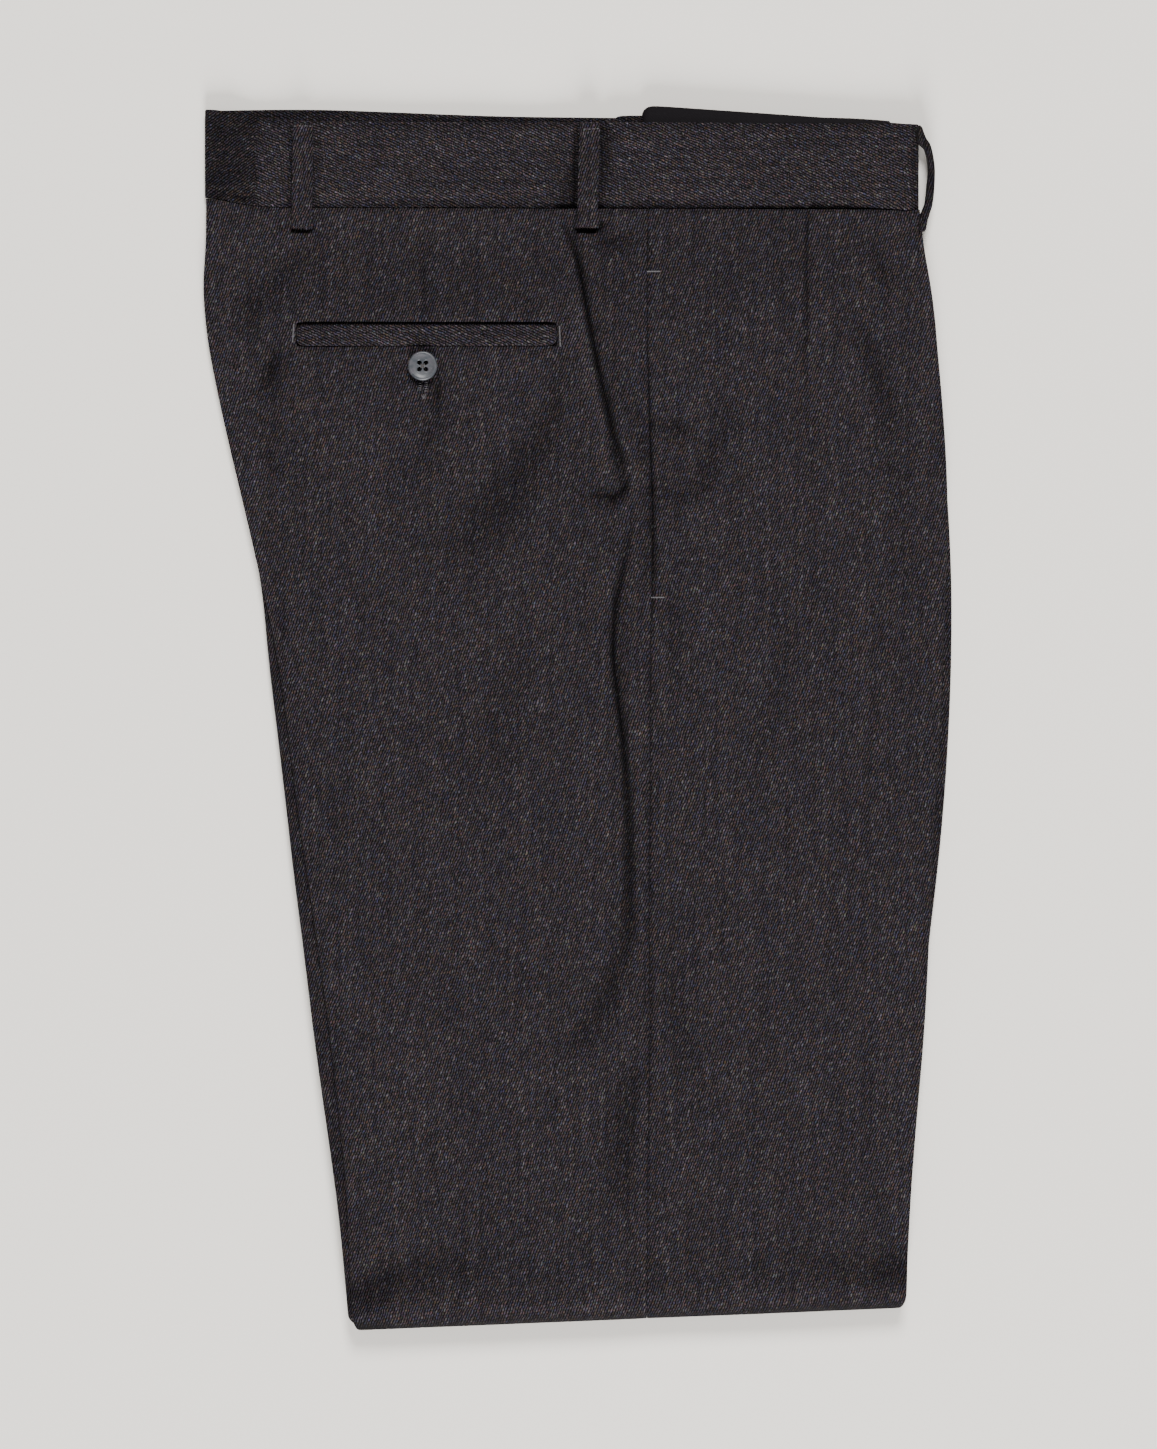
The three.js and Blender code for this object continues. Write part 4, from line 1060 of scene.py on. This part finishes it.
# Stitches of the buttonhole below the button: x and y of both ends
BUTTONHOLE_STITCHES = [
    ((-80.5, 169.4), (-78.9, 169.3)),
    ((-80.5, 168.2), (-78.9, 168.1)),
    ((-80.4, 167.1), (-78.9, 167.0)),
    ((-80.3, 166.0), (-78.9, 166.0)),
    ((-77.6, 169.9), (-75.7, 170.0)),
    ((-77.6, 168.9), (-75.7, 169.0)),
    ((-77.6, 167.9), (-75.7, 167.9)),
    ((-77.6, 166.7), (-75.8, 166.7)),
    ((-77.7, 165.6), (-75.9, 165.5)),
    ((-79.0, 163.8), (-78.1, 161.3)),
    ((-76.7, 164.4), (-77.9, 161.3)),
    ((-78.0, 164.0), (-78.0, 161.6)),
]

# Bar tacks across the side pocket's mouth: x of both ends, and y
MOUTH_TACKS = [(35.4, 42.0, 226.2), (37.4, 44.0, 61.0)]
# Bar tacks along both ends of the welt: x and y of the top and of the bottom
WELT_TACKS = [((-143.9, 199.6), (-144.5, 190.2)), ((-9.2, 198.2), (-8.7, 187.8))]


def leg_piece(node, name, material, side=0):
    mesh = smooth_copy(node, name, cloth_settings().fineness)
    refine(mesh, FOLDS, 2, LEG_BED[0])
    write_laid_uv(mesh)
    lay_in_folds(mesh, FOLDS, LEG_BED)
    if side:
        close_seam(mesh, side)
    return add_object(name, mesh, material, node)


def dress(node, name, material, levels):
    mesh = smooth_copy(node, name, levels)
    write_laid_uv(mesh)
    return add_object(name, mesh, material, node)


def height_over(*names):
    return surface_of(*(bpy.data.objects[name].data for name in names))


def sewn(name, bm, colour):
    """The threads of one group of stitches as a piece"""
    add_object(name, mesh_from(bm, name), sewing_thread(name + "_yarn", colour))


class TROUSERS_OT_legs(bpy.types.Operator):
    """Back and front panel of the upper leg, round the knee fold to their hems"""

    bl_idname = "trousers.legs"
    bl_label = "Leg panels"

    def execute(self, context):
        twill = suiting("Suiting_leg", LEG_TWILL)
        back = leg_piece("back_panel", "Back_leg_panel", twill, -1)
        front = leg_piece("front_panel", "Front_leg_panel", twill, 1)
        return {"FINISHED"}


class TROUSERS_OT_hidden_layers(bpy.types.Operator):
    """The under leg and the other hidden layers, which show as a rim"""

    bl_idname = "trousers.hidden_layers"
    bl_label = "Hidden layers"

    def execute(self, context):
        # The under leg takes the cloth at 0.8 of its colour: painted shade where it shows as a rim under
        # the upper leg
        leg_piece("folded_layers", "Under_leg", suiting("Suiting_under_painted_shade", LEG_TWILL, 0.8))
        return {"FINISHED"}


class TROUSERS_OT_waistband(bpy.types.Operator):
    """Both halves of the waistband, and the lining of the extension"""

    bl_idname = "trousers.waistband"
    bl_label = "Waistband"

    def execute(self, context):
        settings = cloth_settings()
        # The last 26 mm at the centre back are cut on another grain, and lie in shade, which is painted
        # into their colour as a darkening towards the end
        end_x = BAND_LOW.x + 26 * MM
        band_end_painted_shade = (end_x + 4 * MM, end_x - 2 * MM, 0.62)
        mesh = smooth_copy("waistband", "Waistband_right", settings.fineness)
        refine(mesh, BAND_FOLDS, 1, BAND_BED[0])
        write_laid_uv(mesh)
        lay_in_folds(mesh, BAND_FOLDS, BAND_BED)
        self.draw_down(mesh)
        twill = suiting("Suiting_band", BAND_TWILL, 1.0, True, band_end_painted_shade)
        upper = add_object("Waistband_right", mesh, twill, "waistband")
        mesh.materials.append(suiting("Suiting_band_end", BAND_END_TWILL, 1.0, True, band_end_painted_shade))
        for polygon in mesh.polygons:
            polygon.material_index = int(polygon.center.x < end_x)
        # The left half shows as a rim along the band's top edge; it takes the cloth at 0.66 of its colour
        # as painted shade
        dark = suiting("Suiting_band_left_painted_shade", BAND_TWILL, 0.66, True)
        under = dress("under_waistband", "Waistband_left", dark, 1)
        black = lining_cloth("Lining", settings.lining)
        lining = dress("extension_lining", "Extension_lining", black, 1)
        return {"FINISHED"}

    def draw_down(self, mesh):
        """Closes the corner between the band's front end and the leg"""
        co = coordinates(mesh) / MM
        at_front = np.clip((co[:, 0] - 150) / 22, 0, 1)
        at_lower_edge = np.clip((266 - co[:, 1]) / 6, 0, 1)
        co[:, 1] -= 1.3 * at_front * at_lower_edge
        mesh.vertices.foreach_set("co", (co * MM).ravel())
        mesh.update()


class TROUSERS_OT_belt_loops(bpy.types.Operator):
    """Three belt loops with the stitches that hold their upper ends"""

    bl_idname = "trousers.belt_loops"
    bl_label = "Belt loops"

    def execute(self, context):
        strip = suiting("Suiting_loop", LEG_TWILL, 0.98)
        for node, name in (("belt_loop_back", "Loop_back"), ("belt_loop_side", "Loop_side")):
            loop = dress(node, name, strip, cloth_settings().fineness)
        # The front loop, seen on edge, takes the cloth at 0.6 of its colour: painted shade
        front = self.front_loop(suiting("Suiting_loop_edge_painted_shade", LEG_TWILL, 0.6))

        # Stitches across the upper ends
        height = height_over("Loop_back", "Loop_side", "Waistband_right")
        bm = bmesh.new()
        for x, y in LOOP_STITCHES:
            self.stitch(bm, x, y, height)
        sewn("Loop_stitches", bm, trim_settings().thread)
        return {"FINISHED"}

    def stitch(self, bm, x, y, height):
        left, right = x - LOOP_STITCH / 2, x + LOOP_STITCH / 2
        thread(bm, (left, y, height(left, y)), (right, y, height(right, y)), THREAD)

    def front_loop(self, material):
        """A strip folded double that stands on edge: one rounded section carried along its line"""
        route = curve_through([(x, y, half, 0.0) for x, y, half in FRONT_LOOP], 4)
        heading = np.gradient(route[:, :2], axis=0)
        middle = (LOOP_LOW.z + LOOP_HIGH.z) / 2
        half_width = (LOOP_HIGH.z - LOOP_LOW.z) / 2
        last = len(route) - 1
        bm = bmesh.new()
        bmesh.ops.create_circle(bm, cap_ends=True, segments=24, radius=1.0)
        for v in bm.verts:
            v.co.x = math.copysign(abs(v.co.x) ** 0.6, v.co.x)
            v.co.y = math.copysign(abs(v.co.y) ** 0.6, v.co.y)
        ring, edges = bm.verts[:], bm.edges[:]
        before = Matrix.Identity(4)
        for index, (x, y, half, _) in enumerate(route):
            if index:
                made = bmesh.ops.extrude_edge_only(bm, edges=edges)["geom"]
                ring = [g for g in made if isinstance(g, bmesh.types.BMVert)]
                made_edges = [g for g in made if isinstance(g, bmesh.types.BMEdge)]
                edges = [edge for edge in made_edges if set(edge.verts) <= set(ring)]
            rounding = math.sqrt(min(1.0, (0.3 + min(index, last - index)) / 3))
            ahead = Vector((heading[index][0], heading[index][1], 0.0)).normalized()
            across = ahead.cross(Vector((0.0, 0.0, 1.0)))
            place = Matrix((across, (0.0, 0.0, 1.0), ahead)).transposed().to_4x4()
            size = Matrix.Diagonal((half * rounding * MM, half_width * (0.8 + 0.2 * rounding), 1.0, 1.0))
            now = Matrix.Translation((x * MM, y * MM, middle)) @ place @ size
            bmesh.ops.transform(bm, matrix=now @ before.inverted(), verts=ring)
            before = now
        bmesh.ops.edgeloop_fill(bm, edges=edges)
        bmesh.ops.recalc_face_normals(bm, faces=bm.faces)
        mesh = mesh_from(bm, "Loop_front")
        write_laid_uv(mesh)
        return add_object("Loop_front", mesh, material, "belt_loop_front")


class TROUSERS_OT_back_pocket(bpy.types.Operator):
    """The welt, the button with its threads, and the worked buttonhole under it"""

    bl_idname = "trousers.back_pocket"
    bl_label = "Back pocket"

    def execute(self, context):
        trim = trim_settings()
        mesh = smooth_copy("pocket_welt", "Pocket_welt", cloth_settings().fineness)
        write_laid_uv(mesh)
        lay_in_folds(mesh, FOLDS, LEG_BED)
        twill = suiting("Suiting_welt", BAND_TWILL, 1.0, True)
        welt = add_object("Pocket_welt", mesh, twill, "pocket_welt")
        button = smooth_copy("pocket_button", "Pocket_button", 1, 30.0)
        self.draw_out_holes(button)
        add_object("Pocket_button", button, shell_button("Resin", trim.button), "pocket_button")
        self.button_thread(trim)
        self.buttonhole(trim)
        return {"FINISHED"}

    def draw_out_holes(self, mesh):
        """Makes the round holes ovals that point at the button's middle"""
        for v in mesh.vertices:
            off = (v.co - BUTTON_CENTRE) / MM
            corner = Vector((math.copysign(1.7, off.x), math.copysign(1.7, off.y), 0.0))
            beside = Vector((off.x, off.y, 0.0)) - corner
            share = min(1.0, (2.0 - beside.length) / 1.1)
            if share > 0:
                ahead = corner.normalized()
                v.co += (ahead * (0.2 * beside.dot(ahead) - 0.15) + beside * 0.32) * share * MM

    def button_thread(self, trim):
        """Two crossed stitches through the four holes"""
        top = BUTTON_HIGH.z / MM - 0.85
        x, y = BUTTON_CENTRE.x / MM, BUTTON_CENTRE.y / MM
        bm = bmesh.new()
        for turn in (45, 135):
            dx, dy = 1.6 * math.cos(math.radians(turn)), 1.6 * math.sin(math.radians(turn))
            for side in (-0.2, 0.2):
                off = (side * math.cos(math.radians(turn + 90)), side * math.sin(math.radians(turn + 90)))
                start = (x - dx + off[0], y - dy + off[1], top)
                thread(bm, start, (x + dx + off[0], y + dy + off[1], top), THREAD)
        sewn("Button_thread", bm, trim.button_thread)

    def buttonhole(self, trim):
        """The part of the buttonhole that shows below the button, stitched on both sides of its slit"""
        height = height_over("Back_leg_panel")
        bm = bmesh.new()
        for (x0, y0), (x1, y1) in BUTTONHOLE_STITCHES:
            start = (x0, y0, height(x0, y0) + 0.05)
            thread(bm, start, (x1, y1, height(x1, y1) + 0.05), BUTTONHOLE_TWIST)
        sewn("Buttonhole", bm, trim.thread)


class TROUSERS_OT_bar_tacks(bpy.types.Operator):
    """Bar tacks at both ends of the side pocket's mouth, and of the back pocket's welt"""

    bl_idname = "trousers.bar_tacks"
    bl_label = "Bar tacks"

    def execute(self, context):
        height = height_over("Front_leg_panel", "Back_leg_panel", "Pocket_welt")
        bm = bmesh.new()
        for start, end, y in MOUTH_TACKS:
            for x in np.arange(start, end, 0.42):
                self.turn_of_thread(bm, x, y, height, (0.12, 0.42))
        for top, bottom in WELT_TACKS:
            for share in np.arange(0, 1, 0.042):
                x, y = np.array(top) * (1 - share) + np.array(bottom) * share
                self.turn_of_thread(bm, x, y, height, (0.42, 0.12))
        sewn("Bar_tacks", bm, trim_settings().tack_thread)
        return {"FINISHED"}

    def turn_of_thread(self, bm, x, y, height, half):
        """One short stitch over the tack, from half behind its middle to half before it"""
        z = height(x, y) + 0.08
        thread(bm, (x - half[0], y - half[1], z), (x + half[0], y + half[1], z), TACK_TWIST)


# Studio

# The view takes in this much from top to bottom at the height of the cloth, a little off its middle
VIEW_HEIGHT = 0.7352
CLOTH_HEIGHT = 8 * MM
VIEW_SHIFT = (0.45 * MM, -3.35 * MM)


class TROUSERS_OT_stage(bpy.types.Operator):
    """The pale floor, the lights and the camera over the trousers"""

    bl_idname = "trousers.stage"
    bl_label = "Stage"

    def execute(self, context):
        settings = context.scene.trousers_studio
        scene = context.scene

        bm = bmesh.new()
        bmesh.ops.create_grid(bm, x_segments=1, y_segments=1, size=9.0)
        floor = bpy.data.objects.new("Floor", mesh_from(bm, "Floor", False))
        scene.collection.objects.link(floor)
        floor.data.materials.append(table_top("Floor_paint", settings.floor))

        world = bpy.data.worlds.new("Studio")
        world.use_nodes = True
        background = world.node_tree.nodes["Background"]
        background.inputs["Color"].default_value = (1.0, 0.995, 0.985, 1.0)
        background.inputs["Strength"].default_value = settings.sky
        scene.world = world
        self.lamp("Waist_light", settings.waist_light, 1.5, (0.3, 3.0, 3.2))
        self.lamp("Knee_light", settings.knee_light, 1.7, (0.25, -3.75, 1.5))

        camera_data = bpy.data.cameras.new("Camera")
        camera = bpy.data.objects.new("Camera", camera_data)
        scene.collection.objects.link(camera)
        camera_data.sensor_fit = "AUTO"
        camera_data.sensor_width = 36.0
        camera_data.lens = 36.0 * (settings.distance - CLOTH_HEIGHT) / VIEW_HEIGHT
        camera_data.clip_end = 20.0
        middle = (CAD_LOW + CAD_HIGH) / 2
        camera.location = (middle.x + VIEW_SHIFT[0], middle.y + VIEW_SHIFT[1], settings.distance)
        scene.camera = camera
        return {"FINISHED"}

    def lamp(self, name, watts, size, place):
        data = bpy.data.lights.new(name, "AREA")
        data.energy = watts
        data.shape = "DISK"
        data.size = size
        lamp = bpy.data.objects.new(name, data)
        lamp.location = place
        lamp.rotation_euler = (-lamp.location).to_track_quat("-Z", "Y").to_euler()
        bpy.context.scene.collection.objects.link(lamp)


# Panel and registration


class TROUSERS_PT_sidebar(bpy.types.Panel):
    bl_label = "Trousers"
    bl_idname = "TROUSERS_PT_sidebar"
    bl_space_type = "VIEW_3D"
    bl_region_type = "UI"
    bl_category = "Trousers"

    def draw(self, context):
        layout = self.layout
        for group in ("trousers_cloth", "trousers_trim", "trousers_studio"):
            settings = getattr(context.scene, group)
            box = layout.box()
            for key in settings.__annotations__:
                box.prop(settings, key)
        for operator in OPERATORS:
            layout.operator(operator.bl_idname)


OPERATORS = (
    TROUSERS_OT_legs,
    TROUSERS_OT_hidden_layers,
    TROUSERS_OT_waistband,
    TROUSERS_OT_belt_loops,
    TROUSERS_OT_back_pocket,
    TROUSERS_OT_bar_tacks,
    TROUSERS_OT_stage,
)
CLASSES = (TrousersCloth, TrousersTrim, TrousersStudio, *OPERATORS, TROUSERS_PT_sidebar)


def register():
    for made in CLASSES:
        bpy.utils.register_class(made)
    bpy.types.Scene.trousers_cloth = PointerProperty(type=TrousersCloth)
    bpy.types.Scene.trousers_trim = PointerProperty(type=TrousersTrim)
    bpy.types.Scene.trousers_studio = PointerProperty(type=TrousersStudio)


def unregister():
    del bpy.types.Scene.trousers_cloth
    del bpy.types.Scene.trousers_trim
    del bpy.types.Scene.trousers_studio
    for made in reversed(CLASSES):
        bpy.utils.unregister_class(made)


def main():
    register()
    bpy.ops.trousers.stage()
    bpy.ops.trousers.legs()
    bpy.ops.trousers.hidden_layers()
    bpy.ops.trousers.waistband()
    bpy.ops.trousers.belt_loops()
    bpy.ops.trousers.back_pocket()
    bpy.ops.trousers.bar_tacks()


if __name__ == "__main__":
    main()
